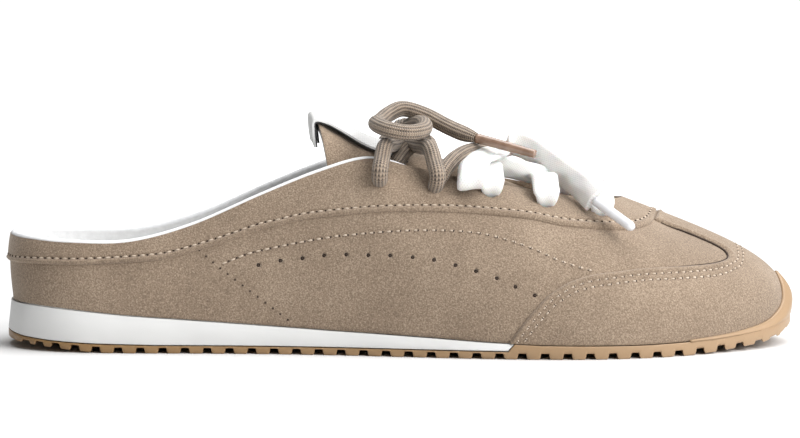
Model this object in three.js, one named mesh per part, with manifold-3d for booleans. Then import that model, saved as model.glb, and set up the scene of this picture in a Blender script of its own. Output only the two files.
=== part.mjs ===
// Sneaker mule, right shoe, standing empty on its sole.
// Millimetres: +X runs to the toe, -Y is the outer side, +Z is up.
import * as THREE from "three";
import { mergeVertices } from "three/addons/utils/BufferGeometryUtils.js";
import Module from "manifold-3d";

const wasm = await Module();
wasm.setup();

// Main sizes
const shoeLength = 268;
const ballWidth = 93;
const instepHeight = 65;
const heelSeat = 15.5;
const toeSpring = 7.2;

// Walls and clearances
const upperWall = 2;
const gap = 0.3;
const overlayGap = 0.4;
const overlayThick = 1;
const rimStand = 0.9;
const insoleThick = 3.5;
const tongueThick = 3;
const tapeThick = 1.2;
const tapeHalfShare = 0.62;
const tapeTurn = 0.9;
const stripStart = 0.782;
const stripHalfWidth = 9.5;
const collarEndRibs = [8, 10];
const edgeStand = 0.02;

// Sole
const soleLip = 1.7;
const midsoleLip = 0.7;
const toeLip = 1.6;
const bumperGap = 0.4;
const bumperThick = 1.6;
const bumperRoot = 2.5;
const lugHeight = 1.9;
const grooveWidth = 2.8;
const groovePitch = 7.4;
const firstFullGroove = 33.2;
const fullGrooves = 29;
const midsoleEnd = 170;
const midsoleSlant = 1.2;

// Laces
const laceDiameter = 6;
const laceTipDiameter = 3.4;
const ribbonWidth = 9;
const ribbonThick = 1.2;
const ribbonTipDiameter = 3.4;
const ribbonBarShare = 0.75;
const ribbonBarRise = 8;
const ribbonShoulder = 6.9;
const laceShoulders = [8.6, 9.4];
const laceStand = 0.8;
const laceCrossing = 0.504;
const ribbonBarShift = 3;
const eyeletDiameter = 4;
const eyeletDepth = 12;
const eyeletSides = 8;

// The last, one row per rib from the heel round to the toe. The foot of a rib stands on the sole
// at along (share of shoeLength) and outer or inner (shares of ballWidth), seat high (share of
// heelSeat). It ends at the rim, rimUp high (share of instepHeight). wall and lean place the
// first handle of its curve, reach, drop and belly the second one.
const lastRows = [
  { along: 0.0075, outer: 0, inner: 0, seat: 1, rimAlong: 0.0086, rimAcross: 0, rimUp: 0.592,
    wall: 0.33, lean: 0.009, reach: 0.5, drop: 0.33, belly: 0.02 },
  { along: 0.017, outer: 0.14, inner: 0.14, seat: 1, rimAlong: 0.016, rimAcross: 0.129, rimUp: 0.588,
    wall: 0.33, lean: 0.009, reach: 0.5, drop: 0.33, belly: 0.02 },
  { along: 0.041, outer: 0.247, inner: 0.247, seat: 0.99, rimAlong: 0.041, rimAcross: 0.226,
    rimUp: 0.58, wall: 0.33, lean: 0.009, reach: 0.5, drop: 0.33, belly: 0.018 },
  { along: 0.09, outer: 0.323, inner: 0.323, seat: 0.925, rimAlong: 0.09, rimAcross: 0.288,
    rimUp: 0.568, wall: 0.33, lean: 0.009, reach: 0.55, drop: 0.34, belly: 0.015 },
  { along: 0.164, outer: 0.349, inner: 0.344, seat: 0.805, rimAlong: 0.164, rimAcross: 0.3,
    rimUp: 0.572, wall: 0.34, lean: 0.01, reach: 0.6, drop: 0.35, belly: 0.012 },
  { along: 0.246, outer: 0.355, inner: 0.334, seat: 0.71, rimAlong: 0.242, rimAcross: 0.285,
    rimUp: 0.656, wall: 0.36, lean: 0.01, reach: 0.55, drop: 0.34, belly: 0.012 },
  { along: 0.336, outer: 0.371, inner: 0.326, seat: 0.61, rimAlong: 0.328, rimAcross: 0.274,
    rimUp: 0.81, wall: 0.38, lean: 0.01, reach: 0.5, drop: 0.3, belly: 0.012 },
  { along: 0.418, outer: 0.403, inner: 0.334, seat: 0.525, rimAlong: 0.4, rimAcross: 0.262,
    rimUp: 0.93, wall: 0.4, lean: 0.012, reach: 0.5, drop: 0.25, belly: 0.011 },
  { along: 0.485, outer: 0.441, inner: 0.36, seat: 0.47, rimAlong: 0.459, rimAcross: 0.247,
    rimUp: 0.995, wall: 0.4, lean: 0.018, reach: 0.5, drop: 0.2, belly: 0.01 },
  { along: 0.545, outer: 0.478, inner: 0.4, seat: 0.415, rimAlong: 0.511, rimAcross: 0.229,
    rimUp: 0.952, wall: 0.4, lean: 0.024, reach: 0.52, drop: 0.16, belly: 0.008 },
  { along: 0.608, outer: 0.511, inner: 0.44, seat: 0.35, rimAlong: 0.567, rimAcross: 0.206,
    rimUp: 0.895, wall: 0.4, lean: 0.03, reach: 0.53, drop: 0.14, belly: 0.005 },
  { along: 0.672, outer: 0.53, inner: 0.473, seat: 0.305, rimAlong: 0.627, rimAcross: 0.182,
    rimUp: 0.85, wall: 0.4, lean: 0.034, reach: 0.54, drop: 0.12, belly: 0.002 },
  { along: 0.735, outer: 0.528, inner: 0.474, seat: 0.293, rimAlong: 0.683, rimAcross: 0.152,
    rimUp: 0.808, wall: 0.4, lean: 0.036, reach: 0.55, drop: 0.12, belly: 0 },
  { along: 0.799, outer: 0.487, inner: 0.456, seat: 0.287, rimAlong: 0.731, rimAcross: 0.11,
    rimUp: 0.772, wall: 0.4, lean: 0.038, reach: 0.58, drop: 0.15, belly: 0 },
  { along: 0.854, outer: 0.412, inner: 0.41, seat: 0.305, rimAlong: 0.756, rimAcross: 0.066,
    rimUp: 0.765, wall: 0.4, lean: 0.042, reach: 0.62, drop: 0.22, belly: 0 },
  { along: 0.907, outer: 0.312, inner: 0.342, seat: 0.35, rimAlong: 0.767, rimAcross: 0.036,
    rimUp: 0.765, wall: 0.4, lean: 0.048, reach: 0.66, drop: 0.3, belly: 0 },
  { along: 0.9505, outer: 0.194, inner: 0.258, seat: 0.43, rimAlong: 0.771, rimAcross: 0.02,
    rimUp: 0.766, wall: 0.41, lean: 0.052, reach: 0.68, drop: 0.36, belly: 0 },
  { along: 0.978, outer: 0.073, inner: 0.164, seat: 0.56, rimAlong: 0.773, rimAcross: 0.009,
    rimUp: 0.767, wall: 0.41, lean: 0.054, reach: 0.69, drop: 0.38, belly: 0 },
  { along: 0.9873, outer: -0.045, inner: 0.045, seat: 0.67, rimAlong: 0.774, rimAcross: 0,
    rimUp: 0.767, wall: 0.41, lean: 0.054, reach: 0.69, drop: 0.38, belly: 0 },
];

// Top of the rubber under the midsole: along is a share of shoeLength, up of heelSeat.
const rubberTopRows = [
  { along: 0, up: 0.365 },
  { along: 0.03, up: 0.3 },
  { along: 0.065, up: 0.25 },
  { along: 0.12, up: 0.205 },
  { along: 0.2, up: 0.18 },
  { along: 0.64, up: 0.172 },
];

// Underside of the rubber: along is a share of shoeLength, up of toeSpring.
const treadRows = [
  { along: 0, up: 0.4 },
  { along: 0.03, up: 0.31 },
  { along: 0.07, up: 0.2 },
  { along: 0.105, up: 0.07 },
  { along: 0.14, up: 0 },
  { along: 0.85, up: 0 },
  { along: 0.885, up: 0.07 },
  { along: 0.92, up: 0.17 },
  { along: 0.955, up: 0.3 },
  { along: 0.98, up: 0.52 },
  { along: 1, up: 1 },
];

// Steps of the cross grooves beyond the even ones, as shares of groovePitch.
const heelGrooveSteps = [0.94, 0.9, 0.78, 0.67];
const toeGrooveSteps = [0.91, 0.95, 0.76, 0.56];

// Lower edge of the collar band seen from the side: shares of shoeLength and instepHeight.
const bandEdgeRows = [
  { along: -0.02, up: 0.438 },
  { along: 0.044, up: 0.446 },
  { along: 0.115, up: 0.449 },
  { along: 0.182, up: 0.465 },
  { along: 0.216, up: 0.483 },
  { along: 0.259, up: 0.532 },
  { along: 0.292, up: 0.575 },
  { along: 0.327, up: 0.626 },
  { along: 0.351, up: 0.648 },
  { along: 0.381, up: 0.678 },
  { along: 0.423, up: 0.7 },
  { along: 0.474, up: 0.72 },
  { along: 0.549, up: 0.722 },
  { along: 0.609, up: 0.706 },
  { along: 0.661, up: 0.682 },
  { along: 0.702, up: 0.648 },
  { along: 0.747, up: 0.629 },
  { along: 0.785, up: 0.62 },
  { along: 0.812, up: 0.637 },
  { along: 0.825, up: 0.677 },
  { along: 0.831, up: 0.714 },
];

// Upper edge of the toe guard seen from the side, in the same shares.
const guardEdgeRows = [
  { along: 0.628, up: 0.05 },
  { along: 0.652, up: 0.19 },
  { along: 0.676, up: 0.302 },
  { along: 0.685, up: 0.332 },
  { along: 0.708, up: 0.386 },
  { along: 0.731, up: 0.412 },
  { along: 0.75, up: 0.423 },
  { along: 0.782, up: 0.435 },
  { along: 0.813, up: 0.438 },
  { along: 0.846, up: 0.437 },
  { along: 0.879, up: 0.438 },
  { along: 0.901, up: 0.445 },
  { along: 0.92, up: 0.47 },
];

// Eyelets of one side, from the top down, in the same shares.
const eyeletRows = [
  { along: 0.475, up: 0.872 },
  { along: 0.543, up: 0.834 },
  { along: 0.612, up: 0.8 },
  { along: 0.68, up: 0.746 },
  { along: 0.748, up: 0.695 },
];

// Height of the rubber bumper by distance from the toe rib, as a share of heelSeat.
const bumperRows = [
  { ribs: 0, up: 1.5 },
  { ribs: 0.5, up: 1.32 },
  { ribs: 1, up: 0.92 },
  { ribs: 1.5, up: 0.7 },
  { ribs: 2, up: 0.56 },
  { ribs: 3, up: 0.42 },
  { ribs: 4, up: 0.34 },
];

// Tongue, one row per section from its root: middle line, half width and how far its sides drop.
// along is a share of shoeLength, up and drop of instepHeight, half of ballWidth.
const tongueRows = [
  { along: 0.81, up: 0.648, half: 0.15, drop: 0.075 },
  { along: 0.776, up: 0.7, half: 0.155, drop: 0.07 },
  { along: 0.74, up: 0.728, half: 0.16, drop: 0.07 },
  { along: 0.66, up: 0.79, half: 0.175, drop: 0.08 },
  { along: 0.58, up: 0.885, half: 0.19, drop: 0.1 },
  { along: 0.51, up: 0.965, half: 0.205, drop: 0.12 },
  { along: 0.46, up: 1.02, half: 0.215, drop: 0.135 },
  { along: 0.42, up: 1.09, half: 0.222, drop: 0.155 },
  { along: 0.392, up: 1.155, half: 0.225, drop: 0.17 },
];

// Tape on the tongue: sections before the tongue's end, and the lift over it in millimetres.
const tapeRows = [
  { beforeEnd: 3, lift: 0.2 },
  { beforeEnd: 2, lift: 1.6 },
  { beforeEnd: 1, lift: 2.4 },
  { beforeEnd: 0.35, lift: 2 },
];

// Half of a bar from its eyelet: share of the way to the middle, share of the shoulder's rise
// and share of what is left up to the middle.
const barRows = [
  { way: 0, shoulder: 0, rest: 0 },
  { way: 0.08, shoulder: 0.5, rest: 0 },
  { way: 0.22, shoulder: 1, rest: 0 },
  { way: 0.5, shoulder: 1, rest: 0.3 },
];

// Route of the round lace past its bars: the loop, then the long end. Chosen by hand.
const laceRoute = [
  [137, -4, 74], [140.4, -9.4, 75.2], [142.2, -16.4, 74.8], [141.4, -23, 73.4], [136.6, -27.4, 72.8],
  [130.4, -27, 73.8], [126.2, -21.4, 75.4], [127.2, -15.2, 76], [130.2, -9.8, 78.2], [135, -6.6, 79.9],
  [142.4, -6.4, 77.8], [149.2, -8.8, 74.4], [154.2, -11.2, 72.2], [159.4, -14, 70.5],
];
const laceTipRoute = [[159.8, -14.2, 70.3], [169.2, -19, 68], [179.1, -23, 65.4]];

// Route of the ribbon past its bars: the loop to the outer side, then the tail. wide is the
// direction of its width. Chosen by hand.
const ribbonRoute = [
  { at: [168.6, -2, 64.4], wide: [1, 0, 0] }, { at: [164.4, -9, 65.8], wide: [1, -0.1, 0] },
  { at: [160.6, -16, 65], wide: [1, -0.1, 0] }, { at: [158.2, -23.4, 62], wide: [1, 0, 0] },
  { at: [157.4, -28.8, 57.2], wide: [1, 0, 0.1] }, { at: [157.4, -32, 55.2], wide: [1, 0, 0.1] },
  { at: [157.8, -33.4, 57.6], wide: [1, 0, 0] }, { at: [159, -29.6, 62.4], wide: [1, 0, 0] },
  { at: [161.6, -22, 63.8], wide: [1, -0.2, 0] }, { at: [165.6, -14, 64.4], wide: [0.8, -0.5, 0] },
  { at: [171.2, -9, 67.4], wide: [0.2, -0.4, 1] }, { at: [177.6, -9.2, 66.8], wide: [0, -0.3, 1] },
  { at: [183.6, -12.4, 63.6], wide: [0, -0.3, 1] }, { at: [189.4, -16.6, 59.4], wide: [0, -0.3, 1] },
  { at: [194.6, -21.6, 55], wide: [0.2, -0.2, 1] }, { at: [198.4, -26.4, 50.8], wide: [0.4, 0, 1] },
];
const ribbonTipRoute = [[199, -27.2, 50.2], [204.8, -31.4, 46], [211, -35.6, 41.6]];

const materials = {
  suede: new THREE.MeshStandardMaterial({ color: 0xa8957f, roughness: 0.95, metalness: 0 }),
  rubber: new THREE.MeshStandardMaterial({ color: 0xbc9266, roughness: 0.6, metalness: 0 }),
  foam: new THREE.MeshStandardMaterial({ color: 0xe6e5e2, roughness: 0.55, metalness: 0 }),
  footbed: new THREE.MeshStandardMaterial({ color: 0xe9e8e4, roughness: 0.9, metalness: 0 }),
  lace: new THREE.MeshStandardMaterial({ color: 0xac9a86, roughness: 0.75, metalness: 0 }),
  ribbon: new THREE.MeshStandardMaterial({ color: 0xf3f3f0, roughness: 0.5, metalness: 0 }),
  laceTip: new THREE.MeshStandardMaterial({ color: 0x8a6f5c, roughness: 0.25, metalness: 0 }),
  ribbonTip: new THREE.MeshStandardMaterial({ color: 0xf0f0ee, roughness: 0.2, metalness: 0 }),
};

const toeRib = lastRows.length - 1;
const ribCount = 2 * toeRib;
const ringSteps = 2 * ribCount;
const wallSteps = 6;

// Value of a column at a place along a table of rows, straight between the rows.
function lookUp(rows, key, column, place) {
  if (place <= rows[0][key]) return rows[0][column];
  for (let i = 1; i < rows.length; i++) {
    if (place > rows[i][key]) continue;
    const share = (place - rows[i - 1][key]) / (rows[i][key] - rows[i - 1][key]);
    return THREE.MathUtils.lerp(rows[i - 1][column], rows[i][column], share);
  }
  return rows[rows.length - 1][column];
}

// Smooth value between four neighbours, as on a Catmull-Rom curve.
function smoothBetween(a, b, c, d, share) {
  const bend = 2 * a - 5 * b + 4 * c - d;
  const twist = 3 * b - a - 3 * c + d;
  return b + 0.5 * share * (c - a + share * (bend + share * twist));
}

// Ribs beyond the toe are those of the inner side, back to the heel.
function ribPoint(rib, part) {
  const wrapped = ((rib % ribCount) + ribCount) % ribCount;
  const innerSide = wrapped > toeRib;
  const row = lastRows[innerSide ? ribCount - wrapped : wrapped];
  const side = innerSide ? 1 : -1;
  const across = innerSide ? row.inner : row.outer;
  if (part === "foot")
    return new THREE.Vector3(row.along * shoeLength, side * across * ballWidth, row.seat * heelSeat);
  return new THREE.Vector3(
    row.rimAlong * shoeLength,
    side * row.rimAcross * ballWidth,
    row.rimUp * instepHeight,
  );
}

// Level direction that points out of the foot's outline at a rib.
function outwardAt(rib) {
  const run = ribPoint(rib + 1, "foot").sub(ribPoint(rib - 1, "foot"));
  return new THREE.Vector3(run.y, -run.x, 0).normalize();
}

// The four control points of each rib's curve.
const ribCurves = Array.from({ length: ribCount }, (_, rib) => {
  const row = lastRows[rib > toeRib ? ribCount - rib : rib];
  const foot = ribPoint(rib, "foot");
  const rim = ribPoint(rib, "rim");
  const outward = outwardAt(rib);
  const height = rim.z - foot.z;
  const low = foot.clone().addScaledVector(outward, row.lean * ballWidth);
  low.z += row.wall * height;
  const high = rim.clone().lerp(foot, row.reach).addScaledVector(outward, row.belly * ballWidth);
  high.z = rim.z - row.drop * height;
  return [foot, low, high, rim];
});

// Control points between ribs.
function curveAt(rib) {
  const whole = Math.floor(rib);
  const near = [-1, 0, 1, 2].map((step) => ribCurves[(((whole + step) % ribCount) + ribCount) % ribCount]);
  return [0, 1, 2, 3].map((corner) => {
    const axes = ["x", "y", "z"].map((axis) =>
      smoothBetween(...near.map((curve) => curve[corner][axis]), rib - whole),
    );
    return new THREE.Vector3(...axes);
  });
}

// The outside of the upper: rise goes from 0 at the sole to 1 at the rim.
function lastPoint(rib, rise) {
  const [foot, low, high, rim] = curveAt(rib);
  const rest = 1 - rise;
  return new THREE.Vector3()
    .addScaledVector(foot, rest ** 3)
    .addScaledVector(low, 3 * rest ** 2 * rise)
    .addScaledVector(high, 3 * rest * rise ** 2)
    .addScaledVector(rim, rise ** 3);
}

function lastNormal(rib, rise) {
  const step = 0.02;
  const low = Math.max(rise - step, 0);
  const high = Math.min(rise + step, 1);
  const up = lastPoint(rib, high).sub(lastPoint(rib, low));
  const round = lastPoint(rib + step, rise).sub(lastPoint(rib - step, rise));
  return round.cross(up).normalize();
}

// A point that stands off the last, outwards for a positive distance.
function offLast(rib, rise, distance) {
  const point = lastPoint(rib, rise).addScaledVector(lastNormal(rib, rise), distance);
  point.z = Math.max(point.z, lastPoint(rib, 0).z);
  return point;
}

// Rise at which a rib reaches a height.
function riseAtHeight(rib, height) {
  let low = 0;
  let high = 1;
  for (let i = 0; i < 24; i++) {
    const middle = (low + high) / 2;
    if (lastPoint(rib, middle).z < height) low = middle;
    else high = middle;
  }
  return low;
}

// Rib and rise of a point of the outer side, given by its place along and its height.
function locate(x, z) {
  let low = 4;
  let high = toeRib - 1;
  for (let i = 0; i < 24; i++) {
    const middle = (low + high) / 2;
    if (lastPoint(middle, riseAtHeight(middle, z)).x < x) low = middle;
    else high = middle;
  }
  return { rib: low, rise: riseAtHeight(low, z) };
}

const onSide = (rib, side) => (side < 0 ? rib : ribCount - rib);

// A geometry from points and faces, turned so that its faces point out.
function closedGeometry(points, faces) {
  let volume = 0;
  for (const [a, b, c] of faces)
    volume += points[a].dot(new THREE.Vector3().crossVectors(points[b], points[c]));
  const order = volume < 0 ? faces.map(([a, b, c]) => [a, c, b]) : faces;
  const geometry = new THREE.BufferGeometry().setFromPoints(points);
  geometry.setIndex(order.flat());
  return geometry;
}

function quad(a, b, c, d) {
  return [[a, b, c], [a, c, d]];
}

// Closed ring whose section at each step is a closed loop of points.
function ringSolid(loops) {
  const count = loops[0].length;
  const faces = [];
  loops.forEach((_, i) => {
    const next = (i + 1) % loops.length;
    for (let j = 0; j < count; j++) {
      const k = (j + 1) % count;
      faces.push(...quad(i * count + j, next * count + j, next * count + k, i * count + k));
    }
  });
  return closedGeometry(loops.flat(), faces);
}

// Closed slab between two grids of points of the same size.
function slabSolid(front, back) {
  const rows = front.length;
  const columns = front[0].length;
  const total = rows * columns;
  const at = (row, column) => row * columns + column;
  const faces = [];
  for (let i = 0; i + 1 < rows; i++)
    for (let j = 0; j + 1 < columns; j++) {
      const corners = [at(i, j), at(i + 1, j), at(i + 1, j + 1), at(i, j + 1)];
      faces.push(...quad(...corners));
      faces.push(...quad(...corners.map((index) => index + total).reverse()));
    }
  const edge = [];
  for (let j = 0; j + 1 < columns; j++) edge.push(at(0, j));
  for (let i = 0; i + 1 < rows; i++) edge.push(at(i, columns - 1));
  for (let j = columns - 1; j > 0; j--) edge.push(at(rows - 1, j));
  for (let i = rows - 1; i > 0; i--) edge.push(at(i, 0));
  edge.forEach((index, i) => {
    const next = edge[(i + 1) % edge.length];
    faces.push(...quad(index, next, next + total, index + total));
  });
  return closedGeometry([...front.flat(), ...back.flat()], faces);
}

// Booleans
function toSolid(geometry) {
  const bare = new THREE.BufferGeometry();
  const source = geometry.index ? geometry.toNonIndexed() : geometry;
  bare.setAttribute("position", source.getAttribute("position").clone());
  const merged = mergeVertices(bare, 1e-4);
  return new wasm.Manifold(
    new wasm.Mesh({
      numProp: 3,
      vertProperties: merged.attributes.position.array,
      triVerts: new Uint32Array(merged.index.array),
    }),
  );
}

function toGeometry(solid) {
  const mesh = solid.getMesh();
  const geometry = new THREE.BufferGeometry();
  const count = mesh.vertProperties.length / mesh.numProp;
  const positions = new Float32Array(count * 3);
  for (let i = 0; i < count; i++)
    for (let axis = 0; axis < 3; axis++)
      positions[3 * i + axis] = mesh.vertProperties[i * mesh.numProp + axis];
  geometry.setAttribute("position", new THREE.BufferAttribute(positions, 3));
  geometry.setIndex(Array.from(mesh.triVerts));
  return geometry;
}

const joinAll = (geometries) => geometries.map(toSolid).reduce((sum, solid) => sum.add(solid));

// A side view outline, in millimetres, drawn out across the whole shoe.
function sidePrism(corners) {
  const shape = new THREE.Shape(corners.map(([x, z]) => new THREE.Vector2(x, z)));
  const depth = 2 * ballWidth;
  const geometry = new THREE.ExtrudeGeometry(shape, { depth, bevelEnabled: false, steps: 1 });
  geometry.rotateX(Math.PI / 2);
  geometry.translate(0, depth / 2, 0);
  return toSolid(geometry);
}

const edgeCorners = (rows) => rows.map(({ along, up }) => [along * shoeLength, up * instepHeight]);

// Outline of the sole at a rib, pushed out by a lip.
function solePoint(rib, lip, height) {
  const foot = curveAt(rib)[0];
  const run = curveAt(rib + 0.1)[0].sub(curveAt(rib - 0.1)[0]);
  const toeShare = THREE.MathUtils.smoothstep(foot.x, 0.9 * shoeLength, 0.98 * shoeLength);
  foot.addScaledVector(new THREE.Vector3(run.y, -run.x, 0).normalize(), lip + toeLip * toeShare);
  foot.z = height(foot);
  return foot;
}

// Slab under the foot between two heights, both functions of a point of the outline.
function soleSlab(bottomLip, topLip, bottom, top) {
  const half = ringSteps / 2;
  const columns = 1;
  const layer = (lip, height) =>
    Array.from({ length: half + 1 }, (_, i) => {
      const rib = (i * ribCount) / ringSteps;
      const outer = solePoint(rib, lip, height);
      const inner = solePoint(ribCount - rib, lip, height);
      return Array.from({ length: columns + 1 }, (_, j) => outer.clone().lerp(inner, j / columns));
    });
  const lower = layer(bottomLip, bottom);
  const upper = layer(topLip, top);
  const count = columns + 1;
  const points = [...lower.flat(), ...upper.flat()];
  const total = lower.length * count;
  const faces = [];
  for (let i = 0; i < half; i++)
    for (let j = 0; j < columns; j++) {
      const corners = [i * count + j, (i + 1) * count + j, (i + 1) * count + j + 1, i * count + j + 1];
      faces.push(...quad(...corners));
      faces.push(...quad(...corners.map((index) => index + total).reverse()));
    }
  for (let i = 0; i < half; i++)
    for (const [j, flip] of [[0, false], [columns, true]]) {
      const low = [i * count + j, (i + 1) * count + j];
      const corners = [...low, low[1] + total, low[0] + total];
      faces.push(...quad(...(flip ? corners : corners.reverse())));
    }
  return weldedSolid(points, faces);
}

// The ends of the slab are single points, so doubled points and flat faces are dropped.
function weldedSolid(points, faces) {
  const keys = new Map();
  const places = points.map((point, i) => {
    const key = point.toArray().map((value) => value.toFixed(4)).join();
    if (!keys.has(key)) keys.set(key, i);
    return keys.get(key);
  });
  const kept = faces
    .map((face) => face.map((index) => places[index]))
    .filter(([a, b, c]) => a !== b && b !== c && c !== a);
  return toSolid(closedGeometry(points, kept));
}

const seatHeight = (point) => lookUp(lastRows, "along", "seat", point.x / shoeLength) * heelSeat;
const rubberTop = (point) =>
  lookUp(rubberTopRows, "along", "up", point.x / shoeLength) * heelSeat;
const treadHeight = (point) => lookUp(treadRows, "along", "up", point.x / shoeLength) * toeSpring;

// Space of the midsole above the rubber, larger all round by a clearance.
function midsoleSpace(clearance) {
  const below = (point) => rubberTop(point) - clearance;
  const above = () => 2 * heelSeat;
  const slab = soleSlab(soleLip + 1, soleLip + 1, below, above);
  const front = midsoleEnd + clearance;
  const keep = sidePrism([
    [-shoeLength, -heelSeat],
    [front - midsoleSlant, -heelSeat],
    [front - midsoleSlant, rubberTop({ x: front })],
    [front + midsoleSlant, seatHeight({ x: front })],
    [front + midsoleSlant, 3 * heelSeat],
    [-shoeLength, 3 * heelSeat],
  ]);
  return slab.intersect(keep);
}

function makeMidsole() {
  const top = (point) => point.z - gap;
  const bottom = (point) => rubberTop(point) - gap;
  const slab = soleSlab(soleLip, midsoleLip, bottom, top);
  return toGeometry(slab.intersect(midsoleSpace(0)));
}

function groovePlaces() {
  const places = Array.from({ length: fullGrooves }, (_, i) => firstFullGroove + i * groovePitch);
  for (const step of heelGrooveSteps) places.unshift(places[0] - step * groovePitch);
  for (const step of toeGrooveSteps) places.push(places[places.length - 1] + step * groovePitch);
  return places;
}

function makeGroove(x) {
  const behind = treadHeight({ x: x - grooveWidth });
  const ahead = treadHeight({ x: x + grooveWidth });
  const box = new THREE.BoxGeometry(grooveWidth, 2 * ballWidth, 2 * lugHeight);
  box.rotateY(-Math.atan2(ahead - behind, 2 * grooveWidth));
  box.translate(x, 0, treadHeight({ x }));
  return box;
}

// Thin rubber wall that turns up round the toe, over the toe guard.
function makeBumper() {
  const reach = bumperRows[bumperRows.length - 1].ribs;
  const columns = (2 * reach * ringSteps) / ribCount;
  const levels = 7;
  const inside = overlayGap + overlayThick + bumperGap;
  const grid = (distance) =>
    Array.from({ length: columns + 1 }, (_, i) => {
      const fromToe = reach * ((2 * i) / columns - 1);
      const rib = toeRib + fromToe;
      const top = riseAtHeight(rib, lookUp(bumperRows, "ribs", "up", Math.abs(fromToe)) * heelSeat);
      const column = Array.from({ length: levels }, (_, j) =>
        offLast(rib, (top * j) / (levels - 1), distance),
      );
      const root = column[0].clone();
      root.z -= bumperRoot;
      return [root, ...column];
    });
  return toSolid(slabSolid(grid(inside + bumperThick), grid(inside)));
}

function makeOutsole() {
  const top = (point) => point.z - gap;
  const slab = soleSlab(soleLip, soleLip, treadHeight, top);
  const grooves = joinAll(groovePlaces().map(makeGroove));
  return toGeometry(slab.subtract(midsoleSpace(gap)).add(makeBumper()).subtract(grooves));
}

function makeInsole() {
  const inset = -(upperWall + 2 * gap);
  const bottom = (point) => point.z;
  const top = (point) => point.z + insoleThick;
  return toGeometry(soleSlab(inset - toeLip, inset - toeLip, bottom, top));
}

// Wall on the last between two distances, up to a rise that may change round the ring.
function shellSolid(inside, outside, topRise) {
  const loops = Array.from({ length: ringSteps }, (_, i) => {
    const rib = (i * ribCount) / ringSteps;
    const top = topRise(rib);
    const line = (distance) =>
      Array.from({ length: wallSteps + 1 }, (_, j) => offLast(rib, (top * j) / wallSteps, distance));
    return [...line(outside), ...line(inside).reverse()];
  });
  return toSolid(ringSolid(loops));
}

function eyeletPlace(row, side) {
  const { rib, rise } = locate(row.along * shoeLength, row.up * instepHeight);
  const sideRib = onSide(rib, side);
  return { point: lastPoint(sideRib, rise), normal: lastNormal(sideRib, rise) };
}

function eyeletPin(row, side) {
  const { point, normal } = eyeletPlace(row, side);
  const radius = eyeletDiameter / 2;
  const pin = new THREE.CylinderGeometry(radius, radius, eyeletDepth, eyeletSides);
  pin.applyQuaternion(new THREE.Quaternion().setFromUnitVectors(new THREE.Vector3(0, 1, 0), normal));
  pin.translate(...point.toArray());
  return pin;
}

const eyeletPins = joinAll(eyeletRows.flatMap((row) => [-1, 1].map((side) => eyeletPin(row, side))));

function makeUpper() {
  return toGeometry(shellSolid(-upperWall, 0, () => 1).subtract(eyeletPins));
}

// The rim of the wall stands above the band at the collar, and not along the throat.
function bandTop(rib) {
  const fromHeel = Math.min(rib, ribCount - rib);
  const stand = rimStand * (1 - THREE.MathUtils.smoothstep(fromHeel, ...collarEndRibs));
  const [foot, , , rim] = curveAt(rib);
  return riseAtHeight(rib, rim.z - Math.max(stand, edgeStand * (rim.z - foot.z)));
}

function makeCollarBand() {
  const shell = shellSolid(overlayGap, overlayGap + overlayThick, bandTop);
  const edge = edgeCorners(bandEdgeRows);
  const top = 2 * instepHeight;
  const cutter = sidePrism([...edge, [edge[edge.length - 1][0], top], [edge[0][0], top]]);
  return toGeometry(shell.intersect(cutter).subtract(eyeletPins));
}

function makeToeGuard() {
  const shell = shellSolid(overlayGap, overlayGap + overlayThick, bandTop);
  const edge = edgeCorners(guardEdgeRows);
  const front = 1.1 * shoeLength;
  const side = sidePrism([
    ...edge,
    [front, edge[edge.length - 1][1]],
    [front, -heelSeat],
    [edge[0][0], -heelSeat],
  ]);
  const stripLength = front - stripStart * shoeLength;
  const strip = new THREE.BoxGeometry(stripLength, 2 * stripHalfWidth, 2 * instepHeight);
  strip.translate(front - stripLength / 2, 0, instepHeight + heelSeat);
  const bandFront = edgeCorners(bandEdgeRows).map(([x, z]) => [x + 2 * gap, z - 2 * gap]);
  const underBand = sidePrism([
    ...bandFront,
    [bandFront[bandFront.length - 1][0], 2 * instepHeight],
    [bandFront[0][0], 2 * instepHeight],
  ]);
  return toGeometry(shell.intersect(side.add(toSolid(strip))).subtract(underBand));
}

// Tongue: an arched sheet, one section per row.
function tonguePoint(place, across, lift) {
  const column = (name) => lookUp(tongueRows.map((row, i) => ({ ...row, i })), "i", name, place);
  const half = column("half") * ballWidth;
  const drop = column("drop") * instepHeight;
  return new THREE.Vector3(
    column("along") * shoeLength,
    across * half,
    column("up") * instepHeight - drop * across ** 2 + lift,
  );
}

function makeTongue() {
  const sections = 2 * (tongueRows.length - 1);
  const columns = 10;
  const grid = (lift) =>
    Array.from({ length: sections + 1 }, (_, i) =>
      Array.from({ length: columns + 1 }, (_, j) => tonguePoint(i / 2, (2 * j) / columns - 1, lift)),
    );
  return slabSolid(grid(0), grid(-tongueThick));
}

// Webbing folded over the top of the tongue and down behind it.
function makeTape() {
  const last = tongueRows.length - 1;
  const columns = 6;
  const section = (across, distance) => {
    const outer = tapeRows.map(({ beforeEnd, lift }) =>
      tonguePoint(last - beforeEnd, across, gap + distance + lift),
    );
    const lip = tonguePoint(last, across, 0);
    const corner = gap + 0.8 * distance + (2 / 3) * tapeTurn;
    const turn = [
      new THREE.Vector3(lip.x - corner, lip.y, lip.z + corner),
      new THREE.Vector3(lip.x - gap - distance - tapeTurn, lip.y, lip.z - tongueThick / 2),
      new THREE.Vector3(lip.x - gap - distance - tapeTurn / 3, lip.y, lip.z - 2.4 * tongueThick),
    ];
    return [...outer, ...turn];
  };
  const grid = (distance) =>
    Array.from({ length: columns + 1 }, (_, j) =>
      section(tapeHalfShare * ((2 * j) / columns - 1), distance),
    );
  return slabSolid(grid(tapeThick), grid(0));
}

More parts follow.
